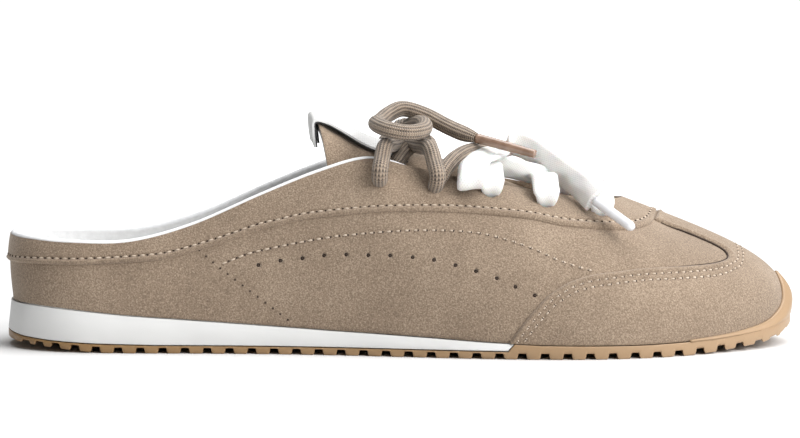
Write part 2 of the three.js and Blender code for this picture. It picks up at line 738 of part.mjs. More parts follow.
// Round lace along a smooth curve through its points.
function roundCord(points, diameter, steps) {
  const curve = new THREE.CatmullRomCurve3(points.map((point) => new THREE.Vector3(...point)));
  const sides = diameter < 4 ? 8 : 10;
  const ring = Array.from({ length: sides }, (_, i) => {
    const angle = (2 * Math.PI * i) / sides;
    return new THREE.Vector2(Math.cos(angle), Math.sin(angle)).multiplyScalar(diameter / 2);
  });
  const shape = new THREE.Shape(ring);
  return new THREE.ExtrudeGeometry(shape, { steps, bevelEnabled: false, extrudePath: curve });
}

// Flat ribbon along a smooth curve, its width in the direction that each row gives.
function flatRibbon(rows, width, steps) {
  const curve = new THREE.CatmullRomCurve3(rows.map(({ at }) => new THREE.Vector3(...at)));
  const wideAt = (place) => {
    const row = Math.min(Math.floor(place), rows.length - 2);
    const start = new THREE.Vector3(...rows[row].wide);
    return start.lerp(new THREE.Vector3(...rows[row + 1].wide), place - row);
  };
  const layer = (lift) =>
    Array.from({ length: steps + 1 }, (_, i) => {
      const share = i / steps;
      const point = curve.getPoint(share);
      const tangent = curve.getTangent(share);
      const wide = wideAt(share * (rows.length - 1)).projectOnPlane(tangent).normalize();
      const normal = new THREE.Vector3().crossVectors(tangent, wide);
      return [-0.5, 0, 0.5].map((across) =>
        point.clone().addScaledVector(wide, across * width).addScaledVector(normal, lift),
      );
    });
  return slabSolid(layer(ribbonThick / 2), layer(-ribbonThick / 2));
}

// Both ends of a bar stop just over the band at an eyelet, its middle rides over the tongue.
function barPoints(row, thick, middle, shoulderRise) {
  const stand = overlayGap + overlayThick + laceStand + thick / 2;
  const [outer, inner] = [-1, 1].map((side) => {
    const { point, normal } = eyeletPlace(row, side);
    return point.addScaledVector(normal, stand);
  });
  const along = (end, side, share, rise) => [
    THREE.MathUtils.lerp(end.x, middle[0], share),
    end.y - side * share * Math.abs(end.y),
    end.z + rise,
  ];
  const half = (end, side) =>
    barRows.map(({ way, shoulder, rest }) => {
      const above = middle[2] - end.z - shoulderRise;
      return along(end, side, way, shoulder * shoulderRise + rest * above);
    });
  return [...half(outer, -1), middle, ...half(inner, 1).reverse()];
}

function makeLaceBars() {
  const crossing = [laceCrossing * shoeLength, 0, instepHeight + 0.6 * laceDiameter];
  const bars = eyeletRows.slice(0, 2).map((row, i) =>
    roundCord(barPoints(row, laceDiameter, crossing, laceShoulders[i]), laceDiameter, 18),
  );
  return toGeometry(joinAll(bars));
}

function makeRibbonBars() {
  const level = [1, 0, 0];
  const width = ribbonBarShare * ribbonWidth;
  const middleOf = (row) => [
    row.along * shoeLength - ribbonBarShift,
    0,
    row.up * instepHeight + ribbonBarRise,
  ];
  const bars = eyeletRows.slice(2).map((row) => {
    const points = barPoints(row, ribbonThick, middleOf(row), ribbonShoulder);
    return flatRibbon(points.map((at) => ({ at, wide: level })), width, 14);
  });
  const spine = eyeletRows.slice(2).map((row) => ({ at: middleOf(row), wide: [0, 1, 0] }));
  return toGeometry(joinAll([...bars, flatRibbon(spine, width, 6)]));
}

const parts = [
  ["outsole", makeOutsole(), materials.rubber],
  ["midsole", makeMidsole(), materials.foam],
  ["insole", makeInsole(), materials.footbed],
  ["upper", makeUpper(), materials.suede],
  ["collar_band", makeCollarBand(), materials.suede],
  ["toe_guard", makeToeGuard(), materials.suede],
  ["tongue", makeTongue(), materials.suede],
  ["tongue_tape", makeTape(), materials.ribbon],
  ["lace_bars", makeLaceBars(), materials.lace],
  ["ribbon_bars", makeRibbonBars(), materials.ribbon],
  ["lace_end", roundCord(laceRoute, laceDiameter, 26), materials.lace],
  ["lace_tip", roundCord(laceTipRoute, laceTipDiameter, 4), materials.laceTip],
  ["ribbon_end", flatRibbon(ribbonRoute, ribbonWidth, 30), materials.ribbon],
  ["ribbon_tip", roundCord(ribbonTipRoute, ribbonTipDiameter, 4), materials.ribbonTip],
];
const cordNames = ["lace_end", "lace_tip", "ribbon_end", "ribbon_tip"];

// The origin is at the bottom centre of the shoe without its lace ends.
const group = new THREE.Group();
const box = new THREE.Box3();
for (const [name, geometry, material] of parts) {
  const mesh = new THREE.Mesh(geometry, material);
  mesh.name = name;
  geometry.computeBoundingBox();
  if (!cordNames.includes(name)) box.union(geometry.boundingBox);
  group.add(mesh);
}
const centre = box.getCenter(new THREE.Vector3());
for (const mesh of group.children) mesh.geometry.translate(-centre.x, -centre.y, -box.min.z);

export default group;
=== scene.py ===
import math
import bmesh
import bpy
import numpy as np
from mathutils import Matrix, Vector


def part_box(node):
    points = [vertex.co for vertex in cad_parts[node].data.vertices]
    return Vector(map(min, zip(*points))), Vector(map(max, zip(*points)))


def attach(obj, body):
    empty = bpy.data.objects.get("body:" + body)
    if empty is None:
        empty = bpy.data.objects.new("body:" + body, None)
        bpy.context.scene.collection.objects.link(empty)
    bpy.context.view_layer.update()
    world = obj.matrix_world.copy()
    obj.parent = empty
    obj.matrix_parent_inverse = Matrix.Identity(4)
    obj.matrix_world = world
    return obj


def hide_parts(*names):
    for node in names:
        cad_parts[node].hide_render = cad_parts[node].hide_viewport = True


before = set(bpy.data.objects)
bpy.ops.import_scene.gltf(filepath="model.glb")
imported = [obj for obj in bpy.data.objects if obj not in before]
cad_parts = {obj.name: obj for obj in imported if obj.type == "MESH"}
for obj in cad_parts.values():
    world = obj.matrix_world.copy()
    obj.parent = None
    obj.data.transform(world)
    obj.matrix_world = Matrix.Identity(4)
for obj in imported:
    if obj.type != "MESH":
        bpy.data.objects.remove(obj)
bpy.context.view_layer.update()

# The shoe is worked out in millimetres from the back of the heel, and put into the frame at the end
sizes = {
    "shoeLength": 268, "ballWidth": 93, "instepHeight": 65, "heelSeat": 15.5, "toeSpring": 7.2,
    "upperWall": 2, "overlayGap": 0.4, "overlayThick": 1, "rimStand": 0.9, "insoleThick": 3.5,
    "tongueThick": 3, "soleLip": 1.7, "midsoleLip": 0.7, "toeLip": 1.6,
    "bumperRoot": 2.5, "lugHeight": 1.9, "grooveWidth": 2.8,
    "groovePitch": 7.4, "firstGroove": 33.2, "fullGrooves": 29, "midsoleEnd": 170, "midsoleSlant": 1.2,
    "laceDiameter": 6, "laceTipDiameter": 3.4, "ribbonWidth": 9, "ribbonThick": 1.2,
    "ribbonTipDiameter": 3.4, "gap": 0.3,
}
shoeLength = sizes["shoeLength"]
ballWidth = sizes["ballWidth"]
instepHeight = sizes["instepHeight"]
heelSeat = sizes["heelSeat"]

# Ribs of the last from the heel to the toe, as shares of the sizes above
ribColumns = ("along", "outer", "inner", "seat", "rimAlong", "rimAcross", "rimUp",
              "wall", "lean", "reach", "drop", "belly")
ribRows = [
    (0.0075, 0, 0, 1, 0.0086, 0, 0.592, 0.33, 0.009, 0.5, 0.33, 0.02),
    (0.017, 0.14, 0.14, 1, 0.016, 0.129, 0.588, 0.33, 0.009, 0.5, 0.33, 0.02),
    (0.041, 0.247, 0.247, 0.99, 0.041, 0.226, 0.58, 0.33, 0.009, 0.5, 0.33, 0.018),
    (0.09, 0.323, 0.323, 0.925, 0.09, 0.288, 0.568, 0.33, 0.009, 0.55, 0.34, 0.015),
    (0.164, 0.349, 0.344, 0.805, 0.164, 0.3, 0.572, 0.34, 0.01, 0.6, 0.35, 0.012),
    (0.246, 0.355, 0.334, 0.71, 0.242, 0.285, 0.656, 0.36, 0.01, 0.55, 0.34, 0.012),
    (0.336, 0.371, 0.326, 0.61, 0.328, 0.274, 0.81, 0.38, 0.01, 0.5, 0.3, 0.012),
    (0.418, 0.403, 0.334, 0.525, 0.4, 0.262, 0.93, 0.4, 0.012, 0.5, 0.25, 0.011),
    (0.485, 0.441, 0.36, 0.47, 0.459, 0.247, 0.995, 0.4, 0.018, 0.5, 0.2, 0.01),
    (0.545, 0.478, 0.4, 0.415, 0.511, 0.229, 0.952, 0.4, 0.024, 0.52, 0.16, 0.008),
    (0.608, 0.511, 0.44, 0.35, 0.567, 0.206, 0.895, 0.4, 0.03, 0.53, 0.14, 0.005),
    (0.672, 0.53, 0.473, 0.305, 0.627, 0.182, 0.85, 0.4, 0.034, 0.54, 0.12, 0.002),
    (0.735, 0.528, 0.474, 0.293, 0.683, 0.152, 0.808, 0.4, 0.036, 0.55, 0.12, 0),
    (0.799, 0.487, 0.456, 0.287, 0.731, 0.11, 0.772, 0.4, 0.038, 0.58, 0.15, 0),
    (0.854, 0.412, 0.41, 0.305, 0.756, 0.066, 0.765, 0.4, 0.042, 0.62, 0.22, 0),
    (0.907, 0.312, 0.342, 0.35, 0.767, 0.036, 0.765, 0.4, 0.048, 0.66, 0.3, 0),
    (0.9505, 0.194, 0.258, 0.43, 0.771, 0.02, 0.766, 0.41, 0.052, 0.68, 0.36, 0),
    (0.978, 0.073, 0.164, 0.56, 0.773, 0.009, 0.767, 0.41, 0.054, 0.69, 0.38, 0),
    (0.9873, -0.045, 0.045, 0.67, 0.774, 0, 0.767, 0.41, 0.054, 0.69, 0.38, 0),
]
ribs = {name: np.array([row[i] for row in ribRows], float) for i, name in enumerate(ribColumns)}
toeRib = len(ribRows) - 1
ribCount = 2 * toeRib

# Outlines seen from the side: share of shoeLength, share of instepHeight
bandEdge = [
    (-0.02, 0.438), (0.044, 0.446), (0.115, 0.449), (0.182, 0.465), (0.216, 0.483), (0.259, 0.532),
    (0.292, 0.575), (0.327, 0.626), (0.351, 0.648), (0.381, 0.678), (0.423, 0.7), (0.474, 0.72),
    (0.549, 0.722), (0.609, 0.706), (0.661, 0.682), (0.702, 0.648), (0.747, 0.629), (0.785, 0.62),
    (0.812, 0.637), (0.825, 0.677), (0.831, 0.714), (0.832, 0.8),
]
guardEdge = [
    (0.628, 0.05), (0.652, 0.19), (0.676, 0.302), (0.685, 0.332), (0.708, 0.386), (0.731, 0.412),
    (0.75, 0.423), (0.782, 0.435), (0.813, 0.438), (0.846, 0.437), (0.879, 0.438), (0.901, 0.445),
    (0.915, 0.462), (0.921, 0.5), (0.922, 0.8),
]
eyelets = [(0.475, 0.872), (0.543, 0.834), (0.612, 0.8), (0.68, 0.746), (0.748, 0.695)]

# Routes that repeat the frame's, in millimetres from the back of the heel
laceRoute = [
    (137, -4, 74), (140.4, -9.4, 75.2), (142.2, -16.4, 74.8), (141.4, -23, 73.4), (136.6, -27.4, 72.8),
    (130.4, -27, 73.8), (126.2, -21.4, 75.4), (127.2, -15.2, 76), (130.2, -9.8, 78.2), (135, -6.6, 79.9),
    (142.4, -6.4, 77.8), (149.2, -8.8, 74.4), (154.2, -11.2, 72.2), (159.4, -14, 70.5),
]
laceTipRoute = [(159.8, -14.2, 70.3), (169.2, -19, 68), (179.1, -23, 65.4)]
ribbonRoute = [
    ((168.6, -2, 64.4), (1, 0, 0)), ((164.4, -9, 65.8), (1, -0.1, 0)),
    ((160.6, -16, 65), (1, -0.1, 0)), ((158.2, -23.4, 62), (1, 0, 0)),
    ((157.4, -28.8, 57.2), (1, 0, 0.1)), ((157.4, -32, 55.2), (1, 0, 0.1)),
    ((157.8, -33.4, 57.6), (1, 0, 0)), ((159, -29.6, 62.4), (1, 0, 0)),
    ((161.6, -22, 63.8), (1, -0.2, 0)), ((165.6, -14, 64.4), (0.8, -0.5, 0)),
    ((171.2, -9, 68.2), (0.2, -0.4, 1)), ((177.6, -9.6, 66.4), (0.1, -0.3, 1)),
    ((183.6, -12.8, 62.2), (0.2, -0.3, 1)), ((189.6, -17, 58), (0.3, -0.3, 1)),
    ((194.8, -21.6, 54), (0.4, -0.2, 1)), ((198.4, -26.4, 50.6), (0.5, 0, 1)),
]
ribbonTipRoute = [(199, -27.2, 50.2), (204.8, -31.4, 46), (211, -35.6, 41.6)]


# The last

def smoothBetween(a, b, c, d, share):
    return b + 0.5 * share * (c - a + share * (2 * a - 5 * b + 4 * c - d + share * (3 * b - a - 3 * c + d)))


def ribEnds():
    foot = np.zeros((ribCount, 3))
    rim = np.zeros((ribCount, 3))
    for rib in range(ribCount):
        innerSide = rib > toeRib
        row = ribCount - rib if innerSide else rib
        side = 1 if innerSide else -1
        across = ribs["inner" if innerSide else "outer"][row]
        foot[rib] = (ribs["along"][row] * shoeLength, side * across * ballWidth, ribs["seat"][row] * heelSeat)
        rim[rib] = (ribs["rimAlong"][row] * shoeLength, side * ribs["rimAcross"][row] * ballWidth,
                    ribs["rimUp"][row] * instepHeight)
    return foot, rim


def ribCurveTable():
    foot, rim = ribEnds()
    run = np.roll(foot, -1, 0) - np.roll(foot, 1, 0)
    outward = np.stack([run[:, 1], -run[:, 0], 0 * run[:, 0]], 1)
    outward /= np.linalg.norm(outward, axis=1)[:, None]
    row = np.array([ribCount - i if i > toeRib else i for i in range(ribCount)])
    height = rim[:, 2] - foot[:, 2]
    low = foot + outward * (ribs["lean"][row] * ballWidth)[:, None]
    low[:, 2] += ribs["wall"][row] * height
    high = rim + (foot - rim) * ribs["reach"][row][:, None]
    high += outward * (ribs["belly"][row] * ballWidth)[:, None]
    high[:, 2] = rim[:, 2] - ribs["drop"][row] * height
    return np.stack([foot, low, high, rim], 1)


ribCurves = ribCurveTable()


def curveAt(rib):
    rib = np.asarray(rib, float)
    whole = np.floor(rib).astype(int)
    near = [ribCurves[(whole + step) % ribCount] for step in (-1, 0, 1, 2)]
    return smoothBetween(*near, (rib - whole)[..., None, None])


def lastPoint(rib, rise):
    foot, low, high, rim = np.moveaxis(curveAt(rib), -2, 0)
    t = np.asarray(rise, float)[..., None]
    return foot * (1 - t) ** 3 + low * 3 * (1 - t) ** 2 * t + high * 3 * (1 - t) * t ** 2 + rim * t ** 3


def lastNormal(rib, rise):
    step = 0.01
    up = lastPoint(rib, np.minimum(rise + step, 1)) - lastPoint(rib, np.maximum(rise - step, 0))
    around = lastPoint(rib + step, rise) - lastPoint(rib - step, rise)
    normal = np.cross(around, up)
    return normal / np.linalg.norm(normal, axis=-1)[..., None]


def offLast(rib, rise, distance):
    rib, rise = np.broadcast_arrays(np.asarray(rib, float), np.asarray(rise, float))
    point = lastPoint(rib, rise) + lastNormal(rib, rise) * np.asarray(distance, float)[..., None]
    point[..., 2] = np.maximum(point[..., 2], curveAt(rib)[..., 0, 2])
    return point


def riseAtHeight(rib, height):
    low = np.zeros(np.shape(rib))
    high = np.ones(np.shape(rib))
    for _ in range(24):
        middle = (low + high) / 2
        under = lastPoint(rib, middle)[..., 2] < height
        low = np.where(under, middle, low)
        high = np.where(under, high, middle)
    return low


def locate(x, z):
    low, high = 4.0, toeRib - 1.0
    for _ in range(24):
        middle = (low + high) / 2
        if lastPoint(middle, riseAtHeight(middle, z))[0] < x:
            low = middle
        else:
            high = middle
    return low, float(riseAtHeight(low, z))


def onSide(rib, side):
    return rib if side < 0 else ribCount - rib


def smoothLine(points, samples=12):
    points = np.array(points, float)
    padded = np.vstack([2 * points[0] - points[1], points, 2 * points[-1] - points[-2]])
    share = np.linspace(0, 1, samples, endpoint=False)[:, None]
    parts = [smoothBetween(*padded[i:i + 4], share) for i in range(len(points) - 1)]
    return np.vstack(parts + [points[-1:]])


def inSide(rows):
    return smoothLine([(a * shoeLength, u * instepHeight) for a, u in rows], 6)


def tableLine(rows, x, scale):
    places, values = np.array(rows, float).T
    return np.interp(np.asarray(x) / shoeLength, places, values) * scale


rubberTopRows = [(0, 0.365), (0.03, 0.3), (0.065, 0.25), (0.12, 0.205), (0.2, 0.18), (0.64, 0.172)]
treadRows = [(0, 0.4), (0.03, 0.31), (0.07, 0.2), (0.105, 0.07), (0.14, 0), (0.85, 0), (0.885, 0.07),
             (0.92, 0.17), (0.955, 0.3), (0.98, 0.52), (1, 1)]


def rubberTop(x):
    return tableLine(rubberTopRows, x, heelSeat)


def treadHeight(x):
    return tableLine(treadRows, x, sizes["toeSpring"])


# The frame's own origin, found from the upper's box
sampleRibs = np.linspace(0, ribCount, 2 * ribCount, endpoint=False)
upperLow, upperHigh = (np.array(corner) * 1000 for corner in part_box("upper"))
upperGrid = np.array([lastPoint(sampleRibs, rise) for rise in np.linspace(0, 1, 7)]).reshape(-1, 3)
lowX = upperGrid[:, 0].min()
middleY = (upperGrid[:, 1].min() + upperGrid[:, 1].max()) / 2
origin = np.array([lowX - upperLow[0], middleY - (upperLow[1] + upperHigh[1]) / 2, 0])


def toFrame(points):
    return (np.asarray(points, float) - origin) / 1000


# Camera as in the photograph: square to the outer side, slightly above
cameraSetup = {"distance": 1000, "height": 120, "middle": 134, "lensMm": 132.2, "pitch": 4.46}
cameraData = bpy.data.cameras.new("photoCamera")
cameraData.lens = cameraSetup["lensMm"]
cameraData.sensor_width = 36
cameraData.clip_end = 200
photoCamera = bpy.data.objects.new("photoCamera", cameraData)
bpy.context.scene.collection.objects.link(photoCamera)
photoCamera.location = toFrame((cameraSetup["middle"], -cameraSetup["distance"], cameraSetup["height"]))
photoCamera.rotation_euler = (math.radians(90 - cameraSetup["pitch"]), 0, 0)
bpy.context.scene.camera = photoCamera


# Materials

def newMaterial(name, roughness, **fixed):
    material = bpy.data.materials.new(name)
    material.use_nodes = True
    shader = material.node_tree.nodes["Principled BSDF"]
    shader.inputs["Roughness"].default_value = roughness
    for socket, value in fixed.items():
        shader.inputs[socket.replace("_", " ")].default_value = value
    return material, shader


def addNode(material, kind, **values):
    node = material.node_tree.nodes.new(kind)
    for key, value in values.items():
        if key.startswith("in"):
            node.inputs[int(key[2:])].default_value = value
        else:
            setattr(node, key, value)
    return node


def link(material, fromSocket, toSocket):
    material.node_tree.links.new(fromSocket, toSocket)


def noiseAt(material, scale, detail=2.0, roughness=0.5, stretch=None):
    place = addNode(material, "ShaderNodeTexCoord")
    noise = addNode(material, "ShaderNodeTexNoise")
    noise.inputs["Scale"].default_value = scale
    noise.inputs["Detail"].default_value = detail
    noise.inputs["Roughness"].default_value = roughness
    if stretch:
        mapping = addNode(material, "ShaderNodeMapping")
        mapping.inputs["Scale"].default_value = stretch
        link(material, place.outputs["Object"], mapping.inputs["Vector"])
        link(material, mapping.outputs["Vector"], noise.inputs["Vector"])
    else:
        link(material, place.outputs["Object"], noise.inputs["Vector"])
    return noise.outputs["Fac"]


def ramp(material, value, stops):
    node = addNode(material, "ShaderNodeValToRGB")
    while len(node.color_ramp.elements) < len(stops):
        node.color_ramp.elements.new(0.5)
    for element, (place, colour) in zip(node.color_ramp.elements, stops):
        element.position = place
        element.color = (*colour, 1)
    link(material, value, node.inputs["Fac"])
    return node.outputs["Color"]


def sumOf(material, first, second, share):
    node = addNode(material, "ShaderNodeMath", operation="MULTIPLY_ADD")
    link(material, second, node.inputs[0])
    node.inputs[1].default_value = share
    link(material, first, node.inputs[2])
    return node.outputs[0]


def bumpInto(material, shader, height, strength, distance):
    node = addNode(material, "ShaderNodeBump")
    node.inputs["Strength"].default_value = strength
    node.inputs["Distance"].default_value = distance
    link(material, height, node.inputs["Height"])
    link(material, node.outputs["Normal"], shader.inputs["Normal"])


suedeLook = {
    "dark": (0.13, 0.094, 0.068), "middle": (0.25, 0.187, 0.134), "light": (0.42, 0.333, 0.25),
    "grain": 1900, "fibre": 3400, "patch": 38, "patchShare": 0.34,
}


def makeSuede():
    material, shader = newMaterial("suede", 0.95, Sheen_Weight=0.4, Sheen_Roughness=0.45,
                                   Sheen_Tint=(1, 0.92, 0.84, 1),
                                   Specular_IOR_Level=0.12)
    grain = noiseAt(material, suedeLook["grain"], 2, 0.6)
    fibre = noiseAt(material, suedeLook["fibre"], 2, 0.6)
    patch = noiseAt(material, suedeLook["patch"], 3, 0.55)
    level = sumOf(material, grain, fibre, 0.6)
    mixed = sumOf(material, level, patch, suedeLook["patchShare"])
    whole = 1.6 + suedeLook["patchShare"]
    share = addNode(material, "ShaderNodeMath", operation="MULTIPLY", in1=1 / whole)
    link(material, mixed, share.inputs[0])
    colour = ramp(material, share.outputs[0], [(0.33, suedeLook["dark"]), (0.5, suedeLook["middle"]),
                                               (0.67, suedeLook["light"])])
    link(material, colour, shader.inputs["Base Color"])
    bumpInto(material, shader, level, 0.5, 0.0003)
    return material


# The gum's colour runs lighter from heel to toe: painted light for the toe, which the lamps light more, and painted
# shade at the heel
rubberLook = {"heel": (0.28, 0.165, 0.07), "toe": (0.37, 0.25, 0.15), "spread": 0.16}


def makeRubber():
    material, shader = newMaterial("gumRubber", 0.42, Specular_IOR_Level=0.4)
    place = addNode(material, "ShaderNodeTexCoord")
    parts = addNode(material, "ShaderNodeSeparateXYZ")
    link(material, place.outputs["Object"], parts.inputs["Vector"])
    along = addNode(material, "ShaderNodeMath", operation="MULTIPLY_ADD", in1=3.4, in2=0.36)
    link(material, parts.outputs["X"], along.inputs[0])
    tone = sumOf(material, along.outputs[0], noiseAt(material, 60, 2), rubberLook["spread"])
    colour = ramp(material, tone, [(0.1, rubberLook["heel"]), (0.9, rubberLook["toe"])])
    link(material, colour, shader.inputs["Base Color"])
    bumpInto(material, shader, noiseAt(material, 900, 2), 0.12, 0.0002)
    return material


def makePlain(name, low, high, scale, roughness, bump, **fixed):
    material, shader = newMaterial(name, roughness, **fixed)
    tone = noiseAt(material, scale, 3)
    link(material, ramp(material, tone, [(0.3, low), (0.7, high)]), shader.inputs["Base Color"])
    bumpInto(material, shader, noiseAt(material, 12 * scale, 2), bump, 0.0002)
    return material


# A woven or braided face on the piece's own UV map: u runs along in mm, v across
def weave(name, low, high, along, across, slant, roughness, bump, **fixed):
    material, shader = newMaterial(name, roughness, **fixed)
    uv = addNode(material, "ShaderNodeUVMap", uv_map="UVMap")
    parts = addNode(material, "ShaderNodeSeparateXYZ")
    link(material, uv.outputs["UV"], parts.inputs["Vector"])
    waves = []
    for side in (1, -1):
        lengthwise = addNode(material, "ShaderNodeMath", operation="MULTIPLY", in1=2 * math.pi * along)
        crosswise = addNode(material, "ShaderNodeMath", operation="MULTIPLY_ADD",
                            in1=side * 2 * math.pi * across * slant)
        link(material, parts.outputs["X"], lengthwise.inputs[0])
        link(material, parts.outputs["Y"], crosswise.inputs[0])
        link(material, lengthwise.outputs[0], crosswise.inputs[2])
        wave = addNode(material, "ShaderNodeMath", operation="SINE")
        link(material, crosswise.outputs[0], wave.inputs[0])
        waves.append(wave.outputs[0])
    rib = addNode(material, "ShaderNodeMath", operation="MAXIMUM")
    link(material, waves[0], rib.inputs[0])
    link(material, waves[1], rib.inputs[1])
    level = addNode(material, "ShaderNodeMath", operation="MULTIPLY_ADD", in1=0.4, in2=0.5)
    link(material, rib.outputs[0], level.inputs[0])
    tone = sumOf(material, level.outputs[0], noiseAt(material, 700, 2), 0.5)
    colour = ramp(material, tone, [(0.35, low), (1.0, high)])
    link(material, colour, shader.inputs["Base Color"])
    bumpInto(material, shader, level.outputs[0], bump, 0.0003)
    return material


# Braid of a round cord: lengthwise ribs crossed by slanted threads, u along in mm, v around; the threads' tops keep
# the real beige, the grooves between them are painted near-black as shade
braidLook = {"ribs": 7, "threads": 1.5, "slant": 0.22, "threadShare": 0.75,
             "dark": (0.03, 0.019, 0.012), "light": (0.34, 0.26, 0.19)}


def makeBraid():
    material, shader = newMaterial("beigeBraid", 0.55, Sheen_Weight=0.25)
    uv = addNode(material, "ShaderNodeUVMap", uv_map="UVMap")
    parts = addNode(material, "ShaderNodeSeparateXYZ")
    link(material, uv.outputs["UV"], parts.inputs["Vector"])

    def waveOf(source, rate, shift=None, share=0.0):
        phase = addNode(material, "ShaderNodeMath", operation="MULTIPLY", in1=2 * math.pi * rate)
        link(material, source, phase.inputs[0])
        turned = phase.outputs[0] if shift is None else sumOf(material, phase.outputs[0], shift, share)
        wave = addNode(material, "ShaderNodeMath", operation="SINE")
        link(material, turned, wave.inputs[0])
        return wave.outputs[0]

    rib = waveOf(parts.outputs["Y"], braidLook["ribs"])
    thread = waveOf(parts.outputs["X"], braidLook["threads"], rib, 2 * math.pi * braidLook["slant"])
    both = sumOf(material, rib, thread, braidLook["threadShare"])
    level = addNode(material, "ShaderNodeMath", operation="MULTIPLY_ADD", in1=0.24, in2=0.5)
    link(material, both, level.inputs[0])
    tone = sumOf(material, level.outputs[0], noiseAt(material, 400, 2), 0.5)
    # Low parts of the weave take the near-black end: painted shade in the grooves
    colour = ramp(material, tone, [(0.35, braidLook["dark"]), (1.0, braidLook["light"])])
    link(material, colour, shader.inputs["Base Color"])
    bumpInto(material, shader, level.outputs[0], 0.9, 0.0005)
    return material


looks = {
    "suede": makeSuede(),
    "gum": makeRubber(),
    "foam": makePlain("whiteFoam", (0.66, 0.66, 0.65), (0.7, 0.7, 0.69), 40, 0.5, 0.05),
    "lining": makePlain("whiteLining", (0.75, 0.755, 0.765), (0.83, 0.835, 0.845), 500, 0.9, 0.3),
    "footbed": makePlain("footbedCloth", (0.7, 0.69, 0.66), (0.8, 0.79, 0.76), 400, 0.9, 0.35),
    "thread": makePlain("suedeThread", (0.42, 0.33, 0.25), (0.6, 0.5, 0.4), 900, 0.6, 0.2),
    # near-black paint for the shade in needle holes, pinholes, perforations and under the strip's edge
    "holeShade": makePlain("needleHole", (0.035, 0.022, 0.015), (0.06, 0.04, 0.03), 300, 0.95, 0.1),
    "braid": makeBraid(),
    "ribbon": weave("whiteRibbon", (0.64, 0.64, 0.62), (0.78, 0.78, 0.76), 1.1, 9, 1, 0.45, 0.25,
                    Sheen_Weight=0.3, Subsurface_Weight=0.15, Subsurface_Scale=0.003),
    "tape": weave("whiteTape", (0.5, 0.5, 0.49), (0.68, 0.68, 0.67), 1.4, 14, 1, 0.6, 0.3),
    # under layer of the tongue tape: near-black painted shade under and behind the white tape
    "tapeBackShade": makePlain("tapeUnderShade", (0.02, 0.02, 0.022), (0.05, 0.05, 0.05), 600, 0.8, 0.3),
    "laceTip": makePlain("brownFilm", (0.2, 0.12, 0.08), (0.32, 0.21, 0.15), 250, 0.2, 0.05,
                         Coat_Weight=0.6),
    "ribbonTip": makePlain("clearFilm", (0.68, 0.68, 0.7), (0.78, 0.78, 0.8), 250, 0.18, 0.05,
                           Coat_Weight=0.6),
}
print("materials ready")


# Meshes

def addMesh(name, points, faces, material, nodes=(), uv=None, sharpAngle=None):
    mesh = bpy.data.meshes.new(name)
    mesh.from_pydata(toFrame(points).tolist(), [], [tuple(int(i) for i in face) for face in faces])
    mesh.polygons.foreach_set("use_smooth", [True] * len(mesh.polygons))
    if sharpAngle:
        mesh.set_sharp_from_angle(angle=math.radians(sharpAngle))
    if uv is not None:
        layer = mesh.uv_layers.new(name="UVMap")
        order = np.zeros(len(mesh.loops), int)
        mesh.loops.foreach_get("vertex_index", order)
        layer.data.foreach_set("uv", np.asarray(uv, float)[order].ravel())
    mesh.materials.append(looks[material])
    piece = bpy.data.objects.new(name, mesh)
    bpy.context.scene.collection.objects.link(piece)
    return finishPiece(piece, nodes)


def finishPiece(piece, nodes):
    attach(piece, "root")
    if nodes:
        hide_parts(*nodes)
    return piece


def gridFaces(rows, columns, closedRows=False, closedColumns=False, start=0, flip=False):
    i = np.arange(rows if closedRows else rows - 1)
    j = np.arange(columns if closedColumns else columns - 1)
    i, j = (part.ravel() for part in np.meshgrid(i, j, indexing="ij"))
    up, right = (i + 1) % rows, (j + 1) % columns
    faces = np.stack([i * columns + j, up * columns + j, up * columns + right, i * columns + right], 1) + start
    return (faces[:, ::-1] if flip else faces).tolist()


def volumeOf(points, faces):
    points = np.asarray(points, float)
    points = points - points.mean(0)
    total = 0.0
    for face in faces:
        for k in range(1, len(face) - 1):
            a, b, c = points[face[0]], points[face[k]], points[face[k + 1]]
            total += a @ np.cross(b, c)
    return total


def facingOut(points, faces):
    if volumeOf(points, faces) < 0:
        return [list(face)[::-1] for face in faces]
    return faces


# Ring whose section at each step is a closed loop of points
def addRing(name, loops, material, nodes=(), sharpAngle=None):
    rows, columns = loops.shape[:2]
    points = loops.reshape(-1, 3)
    faces = facingOut(points, gridFaces(rows, columns, True, True))
    return addMesh(name, points, faces, material, nodes, sharpAngle=sharpAngle)


# Body whose section at each step is a closed loop, its two ends closed
def addLoft(name, loops, material, nodes=(), uv=None, sharpAngle=None):
    rows, columns = loops.shape[:2]
    points = loops.reshape(-1, 3)
    faces = gridFaces(rows, columns, False, True)
    faces.append(list(range(columns)))
    faces.append([(rows - 1) * columns + j for j in range(columns)][::-1])
    return addMesh(name, points, facingOut(points, faces), material, nodes, uv, sharpAngle)


def cutBy(piece, cutter):
    modifier = piece.modifiers.new("holes", "BOOLEAN")
    modifier.operation = "DIFFERENCE"
    modifier.solver = "EXACT"
    modifier.object = cutter
    evaluated = piece.evaluated_get(bpy.context.evaluated_depsgraph_get())
    mesh = bpy.data.meshes.new_from_object(evaluated)
    piece.modifiers.remove(modifier)
    old = piece.data
    piece.data = mesh
    mesh.name = piece.name
    bpy.data.meshes.remove(old)


